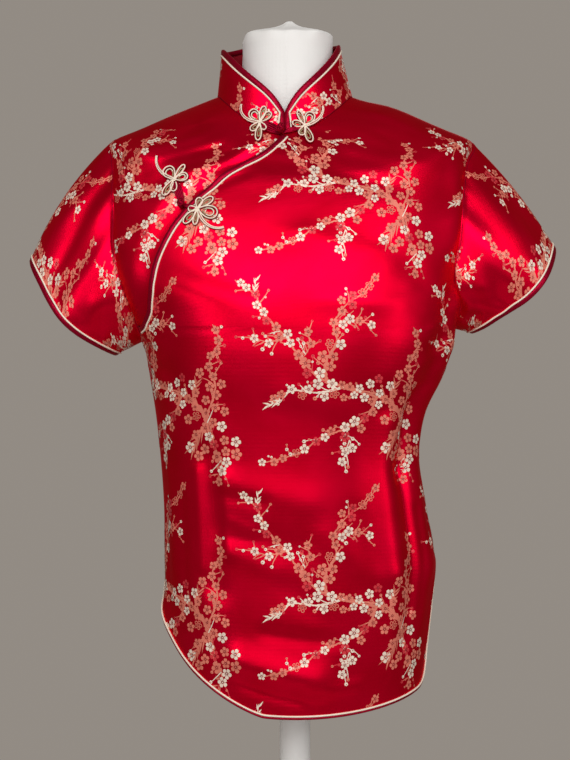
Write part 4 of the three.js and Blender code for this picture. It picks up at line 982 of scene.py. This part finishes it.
# Centre (x, z), knot it joins, loops by turn, length and width, and a tail by turn, length and curl.
KNOTS = {"knot_collar": (-14, 1146), "knot_chest": (-113.5, 1068)}
FROGS = {
    "frog_collar_left": {
        "at": (-36.5, 1158), "knot": "knot_collar", "fan": 4.4, "tail": (172, 33, -105),
        "loops": [(125, 16, 9), (73, 17, 5.5), (40, 15, 6), (227, 13, 6), (265, 21, 5.5), (304, 10, 5)],
    },
    "frog_collar_right": {
        "at": (9.5, 1154), "knot": "knot_collar", "fan": 1.6, "tail": (18, 32, 85),
        "loops": [(168, 13, 6), (115, 17, 4.5), (61, 16, 9), (248, 12, 6), (288, 20, 6.5)],
    },
    "frog_chest_upper": {
        "at": (-123, 1096), "knot": "knot_chest", "fan": 3.4, "tail": (158, 36, -85),
        "loops": [(126, 16, 11), (56, 18, 4.5), (14, 14, 7.5), (237, 20, 6.5), (268, 13, 6)],
    },
    "frog_chest_lower": {
        "at": (-98.5, 1064), "knot": "knot_chest", "fan": 1.6, "tail": (288, 38, 95),
        "loops": [(76, 11, 6), (36, 19, 6), (342, 21, 11.5), (228, 20, 6.5), (262, 17, 4.5), (185, 9, 5)],
    },
}
CREAM, BIAS, PAINTED_SHADE = 0, 1, 2
# Cords of a frog: material, half width, half height, lift above the cloth
LOOP_BASE, LOOP_CORD = (BIAS, 1.35, 0.8, 0.0), (CREAM, 0.72, 0.85, 0.8)
# The fill cord is painted shade: a darker tan cord where shadow falls between a loop's cord edges
PAINTED_SHADE_CORD, EYE_CORD = (PAINTED_SHADE, 0.8, 0.5, 0.3), (CREAM, 0.55, 0.5, 0.9)
TAIL_BASE, TAIL_CORD = (BIAS, 2.1, 0.7, 0.05), (CREAM, 0.75, 0.75, 0.7)
LOOP_STRAND = (BIAS, 1.1, 1.0, 0.0)
WIDE_LOOP = 7  # loops wider than this have an eye
HEART = [(-2.4, 0.4), (-1.2, 1.1), (0, 1.5), (1.2, 1.1), (2.4, 0.4)]  # x, half width


TEARDROP = {"from": 0.06, "to": 0.94, "points": 26, "swell": 0.72}
FROG = {
    "slack": 0.4, "eyed": 0.6, "plain": 0.5, "tail_taper": 0.55, "cord_taper": 0.8,
    "tail_gap": (1.1, 0.5), "strands": 5, "strand_points": 14, "heart_lift": 2.0,
}


def teardrop(turn, length, width):
    t = np.linspace(TEARDROP["from"], TEARDROP["to"], TEARDROP["points"])
    along = length * (1 - np.cos(2 * math.pi * t)) / 2
    across = TEARDROP["swell"] * width * np.sin(2 * math.pi * t) * np.sin(math.pi * t)
    c, s = math.cos(math.radians(turn)), math.sin(math.radians(turn))
    return np.stack([c * along - s * across, s * along + c * across], 1)


def curl_line(turn, length, curl, count=22):
    heading = np.radians(turn + curl * (np.arange(count) / count) ** 1.5)
    step = length / count
    line = np.cumsum(np.stack([np.cos(heading), np.sin(heading)], 1) * step, axis=0)
    return np.concatenate([[[0, 0]], line])


class Bundle:
    """Swept cords of several materials, joined into one mesh."""

    def __init__(self):
        self.points, self.faces, self.indices, self.uvs, self.count = [], [], [], [], 0

    def add(self, sections, index, closed=False):
        points, faces = sweep(sections, closed, self.count)
        self.points.append(points)
        self.faces += [list(f) for f in faces]
        self.indices += [index] * len(faces)
        rings, sides = sections.shape[:2]
        around, along = np.meshgrid(np.arange(sides) * 0.7, np.arange(rings) * 0.8)
        self.uvs.append(np.stack([around.ravel(), along.ravel()], 1))
        self.count += len(points)

    def mesh(self, name, materials, slot):
        return add_mesh(name, np.concatenate(self.points), self.faces, materials, self.indices,
                        np.concatenate(self.uvs), slot=slot)


def add_frog(name, frog):
    """Double-cord loops and a tail round a heart, with strands to the knot, laid on the cloth."""
    centre, knot = np.array(frog["at"], float), np.array(KNOTS[frog["knot"]], float)
    normal = cloth_lean(*centre)
    bundle = Bundle()

    def cord_on(plan, look, taper=1.0):
        index, half, height, lift = look
        line = seated(plan, half + FROG["slack"]) + normal * (height + lift)
        size = np.linspace(1, taper, len(line))
        bundle.add(cord(line, np.broadcast_to(normal, line.shape), half * size, height * size), index)

    for turn, length, width in frog["loops"]:
        outer = teardrop(turn, length, width) + centre
        middle = outer.mean(0)
        inner = middle + (outer - middle) * FROG["eyed" if width > WIDE_LOOP else "plain"]
        cord_on(outer, LOOP_BASE)
        cord_on(outer, LOOP_CORD)
        # Painted shade: a darker tan cord fills each loop, where its cord edges shade the middle
        cord_on(inner[1:-1], PAINTED_SHADE_CORD)
        if width > WIDE_LOOP:
            cord_on(inner[3:-5], EYE_CORD)
    tail = curl_line(*frog["tail"]) + centre
    gap = np.linspace(*FROG["tail_gap"], len(tail))[:, None]
    side = unit(np.gradient(tail, axis=0))[:, ::-1] * [1, -1] * gap
    cord_on(tail, TAIL_BASE, FROG["tail_taper"])
    cord_on(tail - side, TAIL_CORD, FROG["cord_taper"])
    cord_on(tail + side, TAIL_CORD, FROG["cord_taper"])
    way = np.linspace(0, 1, FROG["strand_points"])[:, None]
    across = unit(np.array([-(knot - centre)[1], (knot - centre)[0]]))
    for bow in np.linspace(-frog["fan"], frog["fan"], FROG["strands"]):
        cord_on((centre + (knot - centre) * way + across * bow * np.sin(math.pi * way))[1:], LOOP_STRAND)
    heart = seated(centre + np.array([[x, 0] for x, _ in HEART]), 2) + normal * FROG["heart_lift"]
    swell = np.array([half for _, half in HEART])
    bundle.add(cord(heart, np.broadcast_to(normal, heart.shape), swell, swell * 0.8, 10), CREAM)
    made = bundle.mesh(f"{name}_cords", [stuff["cream"], stuff["bias"], stuff["painted_shade"]], "piping")
    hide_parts(name)
    return made


KNOT = {"core": 3.5, "radius": 3.65, "swell": 0.35, "tilt": 52, "half": 1.35, "height": 1.05, "turns": 3}


def on_ball(radius, latitude, turn):
    """Points on a ball about X, at a latitude and turn in radians."""
    flat = radius * np.cos(latitude)
    return np.stack([radius * np.sin(latitude), flat * np.cos(turn), flat * np.sin(turn)], -1)


def add_knot(name):
    """A ball knot: one cord that winds three times round a core and weaves across itself."""
    low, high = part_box(name)
    centre = np.array((low + high) / 2) / MM
    bundle = Bundle()
    t = np.linspace(0, 2 * math.pi * KNOT["turns"], 190, endpoint=False)
    line = on_ball(KNOT["radius"] + KNOT["swell"] * np.cos(8 * t / 3),
                   math.radians(KNOT["tilt"]) * np.sin(4 * t / 3), t)
    bundle.add(cord(centre + line, unit(line), KNOT["half"], KNOT["height"], 8, True), 0, True)
    latitude = np.radians(np.linspace(-88, 88, 12))[:, None]
    turn = np.linspace(0, 2 * math.pi, 16, endpoint=False)
    bundle.add(centre + on_ball(KNOT["core"], *np.broadcast_arrays(latitude, turn)), 0)
    made = bundle.mesh(f"{name}_ball", [stuff["bias"]], "binding")
    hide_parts(name)
    return made


frogs = {name: add_frog(name, frog) for name, frog in FROGS.items()}
knots = [add_knot(name) for name in KNOTS]
trims["collar"] += [frogs["frog_collar_left"], frogs["frog_collar_right"]]
trims["front_under"].append(frogs["frog_chest_upper"])
trims["front_main"] += [frogs["frog_chest_lower"], *knots]


# ---------------------------------------------------------------- seams and darts

SEAM = {"half": 0.42, "height": 0.24}


def seam(name, owner, line, out, closed=False, cloth="bias"):
    """A sewn line or dart: a narrow, flat cord that lies on the cloth."""
    line = resample(np.concatenate([line, out], 1), TRIM_STEP, closed)
    line, out = line[:, :3], unit(line[:, 3:])
    sections = cord(line, out, SEAM["half"], SEAM["height"], 6, closed) + (out * FACE)[:, None]
    points, faces = sweep(sections, closed)
    made = add_mesh(f"seam_{name}", points, faces, [stuff[cloth]], uvs=points[:, [0, 2]], slot="satin")
    trims[owner].append(made)


for name in ("armhole_left", "armhole_right"):
    owner = name.replace("armhole", "sleeve")
    seam(name, owner, grids[owner][1], normals[owner][1], True)
seam("collar", "collar", grids["collar"][0], normals["collar"][0])
# Seam or dart: its panel, angles and levels of its ends, points, cloth
for name, owner, angles, levels, count, cloth in [
    ("side_left", "front_main", (-90, -90), (934, 676), 60, "bias"),
    ("side_right", "front_main", (90, 90), (947, 701), 60, "bias"),
    ("shoulder_left", "back", (-90, -90), (1151, 1196), 20, "bias"),
    ("shoulder_right", "front_main", (90, 90), (1151, 1196), 20, "bias"),
    ("dart_left", "front_main", (-36, -34.5), (836, 712), 60, "satin"),
    ("dart_right", "front_main", (52.5, 51.5), (848, 712), 60, "satin"),
    ("bust_dart_left", "front_main", (-89, -62), (902, 926), 60, "satin"),
    ("bust_dart_right", "front_main", (89, 64), (906, 930), 60, "satin"),
    ("back_dart_left", "back", (207, 206), (905, 716), 60, "satin"),
    ("back_dart_right", "back", (153, 154), (905, 716), 60, "satin"),
]:
    angle, level = np.linspace(*angles, count), np.linspace(*levels, count)
    seam(name, owner, cloth_point(angle, level), torso_normal(angle, level), cloth=cloth)


# ---------------------------------------------------------------- woven figure

# One repeat of the cloth: a plum tree's boughs in blossom, charted in mm.
REPEAT = (205, 212)
# Boughs: points, width at both ends, blossoms, how far they stand off, weights of ivory, salmon, coral
BOUGHS = [
    ([(190, 20), (183, 48), (166, 66), (141, 74), (116, 80)], (6.5, 4), 36, 18, (0.2, 0.62, 0.18)),
    ([(116, 80), (94, 88), (76, 106), (60, 128), (42, 148), (30, 172), (12, 186)], (3, 1), 17, 6,
     (0.5, 0.26, 0.24)),
    ([(100, 84), (99, 104), (110, 124), (107, 142), (121, 162), (140, 174), (156, 194)], (2.8, 0.9), 17, 7,
     (0.14, 0.66, 0.2)),
    ([(118, 80), (92, 74), (70, 76), (46, 68)], (2.4, 0.9), 9, 6, (0.62, 0.16, 0.22)),
    ([(152, 70), (142, 50), (120, 38), (96, 30), (76, 15), (56, 8), (34, 3)], (2.8, 0.9), 16, 6,
     (0.46, 0.34, 0.2)),
    ([(183, 48), (194, 78), (187, 102), (198, 124), (192, 142)], (2.6, 0.9), 12, 8, (0.1, 0.68, 0.22)),
    ([(60, 128), (42, 124), (22, 130)], (1.5, 0.7), 5, 4, (0.66, 0.1, 0.24)),
    ([(107, 142), (126, 146), (146, 142)], (1.5, 0.7), 4, 4, (0.2, 0.6, 0.2)),
    ([(120, 38), (124, 20), (114, 4)], (1.6, 0.7), 4, 5, (0.5, 0.3, 0.2)),
    ([(190, 20), (200, 2), (196, -18)], (2.2, 0.8), 7, 7, (0.2, 0.6, 0.2)),
    ([(76, 106), (84, 122), (80, 136)], (1.3, 0.7), 2, 4, (0.3, 0.4, 0.3)),
]
# Leaf sprays: foot, heading, length, leaves, tone
SPRAYS = [
    ((182, 40), -128, 30, 10, 1), ((56, 66), 196, 17, 6, 0),
    ((166, 66), 66, 22, 7, 1), ((30, 172), 74, 16, 5, 0),
]


def curve_through(points, step=2.0):
    points = np.asarray(points, float)
    ends = np.concatenate([[2 * points[0] - points[1]], points, [2 * points[-1] - points[-2]]])
    t = np.linspace(0, 1, 12, endpoint=False)[:, None]
    line = [
        (2 * b + (c - a) * t + (2 * a - 5 * b + 4 * c - d) * t**2 + (3 * b - a - 3 * c + d) * t**3) / 2
        for a, b, c, d in zip(ends[:-3], ends[1:-2], ends[2:-1], ends[3:])
    ]
    return resample(np.concatenate([*line, points[-1:]]), step)


class Chart:
    """Flat shapes of one repeat: points with a layer, triangles with a tone."""

    def __init__(self):
        self.points, self.layers, self.faces, self.tones, self.count = [], [], [], [], 0

    def add(self, points, faces, tone, layer):
        self.points.append(points)
        self.layers.append(np.full(len(points), float(layer)))
        self.faces.append(np.asarray(faces) + self.count)
        self.tones.append(np.full(len(faces), tone))
        self.count += len(points)

    def fan(self, points, tone, layer):
        count = len(points)
        self.add(points, [(0, i, i + 1) for i in range(1, count - 1)], tone, layer)

    def ribbon(self, line, width, tone, layer):
        width = np.broadcast_to(width, len(line))[:, None]
        across = unit(np.gradient(line, axis=0))[:, ::-1] * [1, -1] * width / 2
        points = np.concatenate([line + across, line - across])
        n = len(line)
        i = np.arange(n - 1)
        faces = np.concatenate([np.stack([i, i + 1, i + 1 + n], 1), np.stack([i, i + 1 + n, i + n], 1)])
        self.add(points, faces, tone, layer)


# One petal, a blossom's mark on it and a bud's: radius and angle
PETAL = [
    (0.16, 0), (0.42, -30), (0.68, -31), (0.89, -23), (1.0, -8), (1.0, 8), (0.89, 23), (0.68, 31), (0.42, 30),
]
STAMEN = [(0.2, -14), (0.56, 0), (0.2, 14)]
SEPAL = [(0.3, 90), (0.8, 0), (0.3, -90)]


def polar(shape, at, size, turn):
    radius, angle = np.array(shape, float).T
    angle = np.radians(angle + turn)
    return at + size * np.stack([radius * np.cos(angle), radius * np.sin(angle)], 1)


def ring(radius, sides=7):
    return [(radius, 360 * k / sides) for k in range(sides)]


def blossom(chart, at, size, turn, tone, layer):
    """Five petals round a ringed centre: filled, or only outlined where `tone` is a pair."""
    outlined = isinstance(tone, tuple)
    for petal in range(5):
        lean = turn + 72 * petal
        shape = np.array(PETAL) * [1 + rng.uniform(-0.06, 0.06), 1]
        if outlined:
            edge = polar(shape, at, size, lean)
            middle = edge.mean(0)
            n = len(edge)
            i, j = np.arange(n), (np.arange(n) + 1) % n
            faces = np.concatenate([np.stack([i, j, j + n], 1), np.stack([i, j + n, i + n], 1)])
            chart.add(np.concatenate([edge, middle + (edge - middle) * 0.6]), faces, tone[0], layer)
        else:
            chart.fan(polar(shape, at, size, lean), tone, layer)
        chart.fan(polar(STAMEN, at, size, lean), tone[1] if outlined else LINE, layer + 1)
    chart.fan(polar(ring(0.25), at, size, turn), LINE, layer + 1)
    chart.fan(polar(ring(0.14, 5), at, size, turn), tone[0] if outlined else tone, layer + 2)


def bud(chart, at, size, turn, tone, layer):
    chart.fan(polar(ring(1, 6), at, size, turn), tone, layer)
    chart.fan(polar(SEPAL, at, size, turn), LINE, layer + 1)


BLOSSOM = {"size": (5.1, 6.2), "shrink": 0.24, "crowd": 1.15, "outlined": 0.5, "turn": (0, 72), "tries": 60}
SPRIG = {"lean": (28, 62), "length": (8, 17), "curl": (-40, 40), "first": 0.12, "every": 0.11}
BUD_SIZE = (1.1, 2.2)
LEAF = {"lean": (22, -26), "waver": (-5, 5), "length": (0.38, 0.55)}
APART = 0.9  # of the sum of two sizes


def add_bough(chart, points, ends, weights):
    """A bough's ribbon, with bark lines on a thick one. Returns its line and tone."""
    first, last = ends
    line = curve_through(points)
    line = line + rng.normal(0, 0.25, line.shape)
    width = np.linspace(first, last, len(line)) * rng.uniform(0.65, 1.3, len(line))
    tone = 1 if weights[1] > 0.3 or first > 2.8 else rng.choice([0, 1])
    chart.ribbon(line, width, tone, 0)
    if first > 3.5:
        for _ in range(7):
            start = rng.integers(0, max(len(line) - 6, 1))
            bark = line[start:start + 5] + rng.normal(0, first * 0.12, 2)
            chart.ribbon(bark, [0.1, 0.5, 0.6, 0.5, 0.1], LINE, 1)
    return line, tone


def add_blossoms(chart, free, taken, line, count, reach, weights):
    placed = tries = 0
    while placed < count and tries < count * BLOSSOM["tries"]:
        tries += 1
        share = rng.random() ** BLOSSOM["crowd"]
        at = line[int(share * (len(line) - 1))] + rng.normal(0, reach * (1.05 - 0.6 * share) * 0.5, 2)
        size = rng.uniform(*BLOSSOM["size"]) * (1 - BLOSSOM["shrink"] * share)
        if not free(at, size):
            continue
        taken.append((*at, size))
        tone = rng.choice(3, p=weights)
        if tone == 2 and rng.random() < BLOSSOM["outlined"]:
            tone = (1, 2)
        blossom(chart, at, size, rng.uniform(*BLOSSOM["turn"]), tone, 1)
        placed += 1


def add_sprigs(chart, free, taken, line, tone, weights):
    """Short sprigs along a bough, with buds."""
    for share in np.arange(SPRIG["first"], 1.0, SPRIG["every"]):
        i = min(int(share * (len(line) - 1)), len(line) - 2)
        along = math.degrees(math.atan2(*(line[i + 1] - line[i])[::-1]))
        heading = along + rng.choice([-1, 1]) * rng.uniform(*SPRIG["lean"])
        sprig = line[i] + curl_line(heading, rng.uniform(*SPRIG["length"]), rng.uniform(*SPRIG["curl"]), 7)
        own = tone if rng.random() < 0.5 else rng.choice(3, p=weights)
        chart.ribbon(sprig, np.linspace(1.3, 0.7, len(sprig)), own, 0)
        for at, turn in ((sprig[-1], 0), (sprig[4] + rng.normal(0, 1.2, 2), 90)):
            size = rng.uniform(*BUD_SIZE)
            if free(at, size):
                taken.append((*at, size))
                bud(chart, at, size, heading + turn, rng.choice(3, p=weights), 1)


def add_spray(chart, foot, heading, length, leaves, tone):
    stem = np.array(foot, float) + curl_line(heading, length, 16, 10)
    chart.ribbon(stem, np.linspace(1.2, 0.5, len(stem)), tone, 0)
    for k in range(leaves):
        at = stem[int(1 + k * (len(stem) - 2) / leaves)]
        lean = heading + LEAF["lean"][0 if k % 2 else 1] + rng.uniform(*LEAF["waver"])
        leaf = at + curl_line(lean, length * rng.uniform(*LEAF["length"]), 10, 5)
        chart.ribbon(leaf, np.array([0.4, 1.5, 1.9, 1.4, 0.8, 0.2]), tone, 1)


def chart_repeat():
    chart = Chart()
    taken = []
    copies = [(i * REPEAT[0], j * REPEAT[1]) for i in (-1, 0, 1) for j in (-1, 0, 1)]

    def free(at, size):
        return all(math.hypot(at[0] - x - dx, at[1] - y - dy) > APART * (size + r)
                   for x, y, r in taken for dx, dy in copies)

    lines = [add_bough(chart, points, ends, weights) for points, ends, _, _, weights in BOUGHS]
    for (line, tone), (_, _, count, reach, weights) in zip(lines, BOUGHS):
        add_blossoms(chart, free, taken, line, count, reach, weights)
        add_sprigs(chart, free, taken, line, tone, weights)
    for spray in SPRAYS:
        add_spray(chart, *spray)
    return [np.concatenate(part) for part in (chart.points, chart.layers, chart.faces, chart.tones)]


chart_points, chart_layers, chart_faces, chart_tones = chart_repeat()


def sample(table, i, j):
    """Bilinear reading of a grid at fractional rows and columns."""
    rows, columns = table.shape[:2]
    i, j = np.clip(i, 0, rows - 1.0001), np.clip(j, 0, columns - 1.0001)
    r, c = i.astype(int), j.astype(int)
    a, b = i - r, j - c
    if table.ndim == 3:
        a, b = a[:, None], b[:, None]
    return (table[r, c] * (1 - a) * (1 - b) + table[r, c + 1] * (1 - a) * b
            + table[r + 1, c] * a * (1 - b) + table[r + 1, c + 1] * a * b)


SEARCH = {"rounds": 30, "least": 0.3, "stride": 12, "reached": 0.4}


def find_cell(tables, uv, start):
    """Rows and columns where a grid's lengths are (u, v), and whether they are reached."""
    across, up = tables
    most, least, (rows, columns) = SEARCH["stride"], SEARCH["least"], across.shape
    i, j = np.full(len(uv), float(start[0])), np.full(len(uv), float(start[1]))
    for _ in range(SEARCH["rounds"]):
        du = np.maximum(sample(across, i, j + 0.5) - sample(across, i, j - 0.5), least)
        dv = np.maximum(sample(up, i + 0.5, j) - sample(up, i - 0.5, j), least)
        j = np.clip(j + np.clip((uv[:, 0] - sample(across, i, j)) / du, -most, most), 0, columns - 1)
        i = np.clip(i + np.clip((uv[:, 1] - sample(up, i, j)) / dv, -most, most), 0, rows - 1)
    missed = np.hypot(uv[:, 0] - sample(across, i, j), uv[:, 1] - sample(up, i, j))
    return i, j, missed < SEARCH["reached"]


def copies_over(span, start, size):
    """Numbers of the repeats that reach a span."""
    return range(int((span[0] - start) // size) - 1, int((span[1] - start) // size) + 2)


def repeats_over(u_range, v_range, offset):
    """All points of the chart's repeats that reach a range of lengths, with their triangles."""
    found, count = [], 0
    for i in copies_over(u_range, offset[0], REPEAT[0]):
        for j in copies_over(v_range, offset[1], REPEAT[1]):
            moved = chart_points + [offset[0] + i * REPEAT[0], offset[1] + j * REPEAT[1]]
            inside = ((moved[:, 0] > u_range[0]) & (moved[:, 0] < u_range[1])
                      & (moved[:, 1] > v_range[0]) & (moved[:, 1] < v_range[1]))
            keep = inside[chart_faces].all(1)
            if keep.any():
                found.append((moved, chart_layers, chart_faces[keep] + count, chart_tones[keep]))
                count += len(moved)
    return [np.concatenate(part) for part in zip(*found)]


LAYER = (0.16, 0.07)  # height of the lowest figure above the cloth, and of each layer above it
MARGIN = {"side": 0.3, "hem": 3, "neck": 1, "cell": 0.1}  # degrees, mm, mm, rows and columns
TABLE = {"reach": 112, "turn": 2, "low": 548, "high": 1197, "row": 4, "middle": 860}
TABLE_RANGE = ((-300, 300), (-320, 330))


def add_figure(name, points, uv, faces, tones, kept):
    keep = kept[faces].all(1)
    used, inverse = np.unique(faces[keep], return_inverse=True)
    figure = add_mesh(f"figure_{name}", points[used], inverse.reshape(-1, 3), wefts, tones[keep], uv[used],
                      slot="satin")
    trims[name].append(figure)


def torso_figure(name, mid, offset, edges, hem, sink=None):
    """The figure on a body panel, laid out by lengths over the whole torso about an angle."""
    first = mid - TABLE["reach"]
    angles = np.arange(first, mid + TABLE["reach"] + 0.1, TABLE["turn"])
    levels = np.arange(TABLE["low"], TABLE["high"] + 0.1, TABLE["row"])
    grid = torso(*np.broadcast_arrays(angles[None], levels[:, None]))
    uv, layers, faces, tones = repeats_over(*TABLE_RANGE, offset)
    middle = (TABLE["middle"] - TABLE["low"]) // TABLE["row"], len(angles) // 2
    i, j, kept = find_cell(lengths(grid, *middle), uv, middle)
    angle, level = first + TABLE["turn"] * j, TABLE["low"] + TABLE["row"] * i
    low, high = edges(level)
    kept &= (angle > low + MARGIN["side"]) & (angle < high - MARGIN["side"])
    kept &= (level > hem(angle) + MARGIN["hem"]) & (level < NECKLINE - MARGIN["neck"])
    out = FACE + LAYER[0] + LAYER[1] * layers
    if sink is not None:
        out = out - sink(angle, level)
    points = np.zeros((len(uv), 3))
    points[kept] = cloth_point(angle[kept], level[kept], out[kept])
    add_figure(name, points, uv, faces, tones, kept)


def grid_figure(name, grid, normal, mid_column, offset):
    """The figure on a panel, laid out by lengths over its own grid."""
    tables = lengths(grid, 0, mid_column)
    uv, layers, faces, tones = repeats_over(*[(table.min(), table.max()) for table in tables], offset)
    i, j, kept = find_cell(tables, uv, (len(grid) // 2, mid_column))
    inset = MARGIN["cell"]
    kept &= (i > inset) & (i < len(grid) - 1 - inset) & (j > inset) & (j < grid.shape[1] - 1 - inset)
    out = FACE + LAYER[0] + LAYER[1] * layers
    points = sample(grid, i, j) + unit(sample(normal, i, j)) * out[:, None]
    add_figure(name, points, uv, faces, tones, kept)


torso_figure("front_main", 0, (-70, -54), front_edges, front_hem)
torso_figure("front_under", 0, (-70, -54), lambda level: (left_front(level), opening_angle(level)),
             lambda angle: UNDER["foot"], under_sink)
torso_figure("back", 180, (-80, -40), back_edges, back_hem)
grid_figure("collar", grids["collar"], normals["collar"], COLLAR_COLUMNS // 2, (-30, -110))
for name in ("sleeve_left", "sleeve_right"):
    grid, normal = grids[name], normals[name]
    columns = np.arange(grid.shape[1])
    order = np.concatenate([columns[ARMHOLE_BOTTOM:], columns[:ARMHOLE_BOTTOM + 1]])
    middle = len(order) - 1 - ARMHOLE_BOTTOM
    grid_figure(name, grid[::-1, order], normal[::-1, order], middle, (-90, -60))
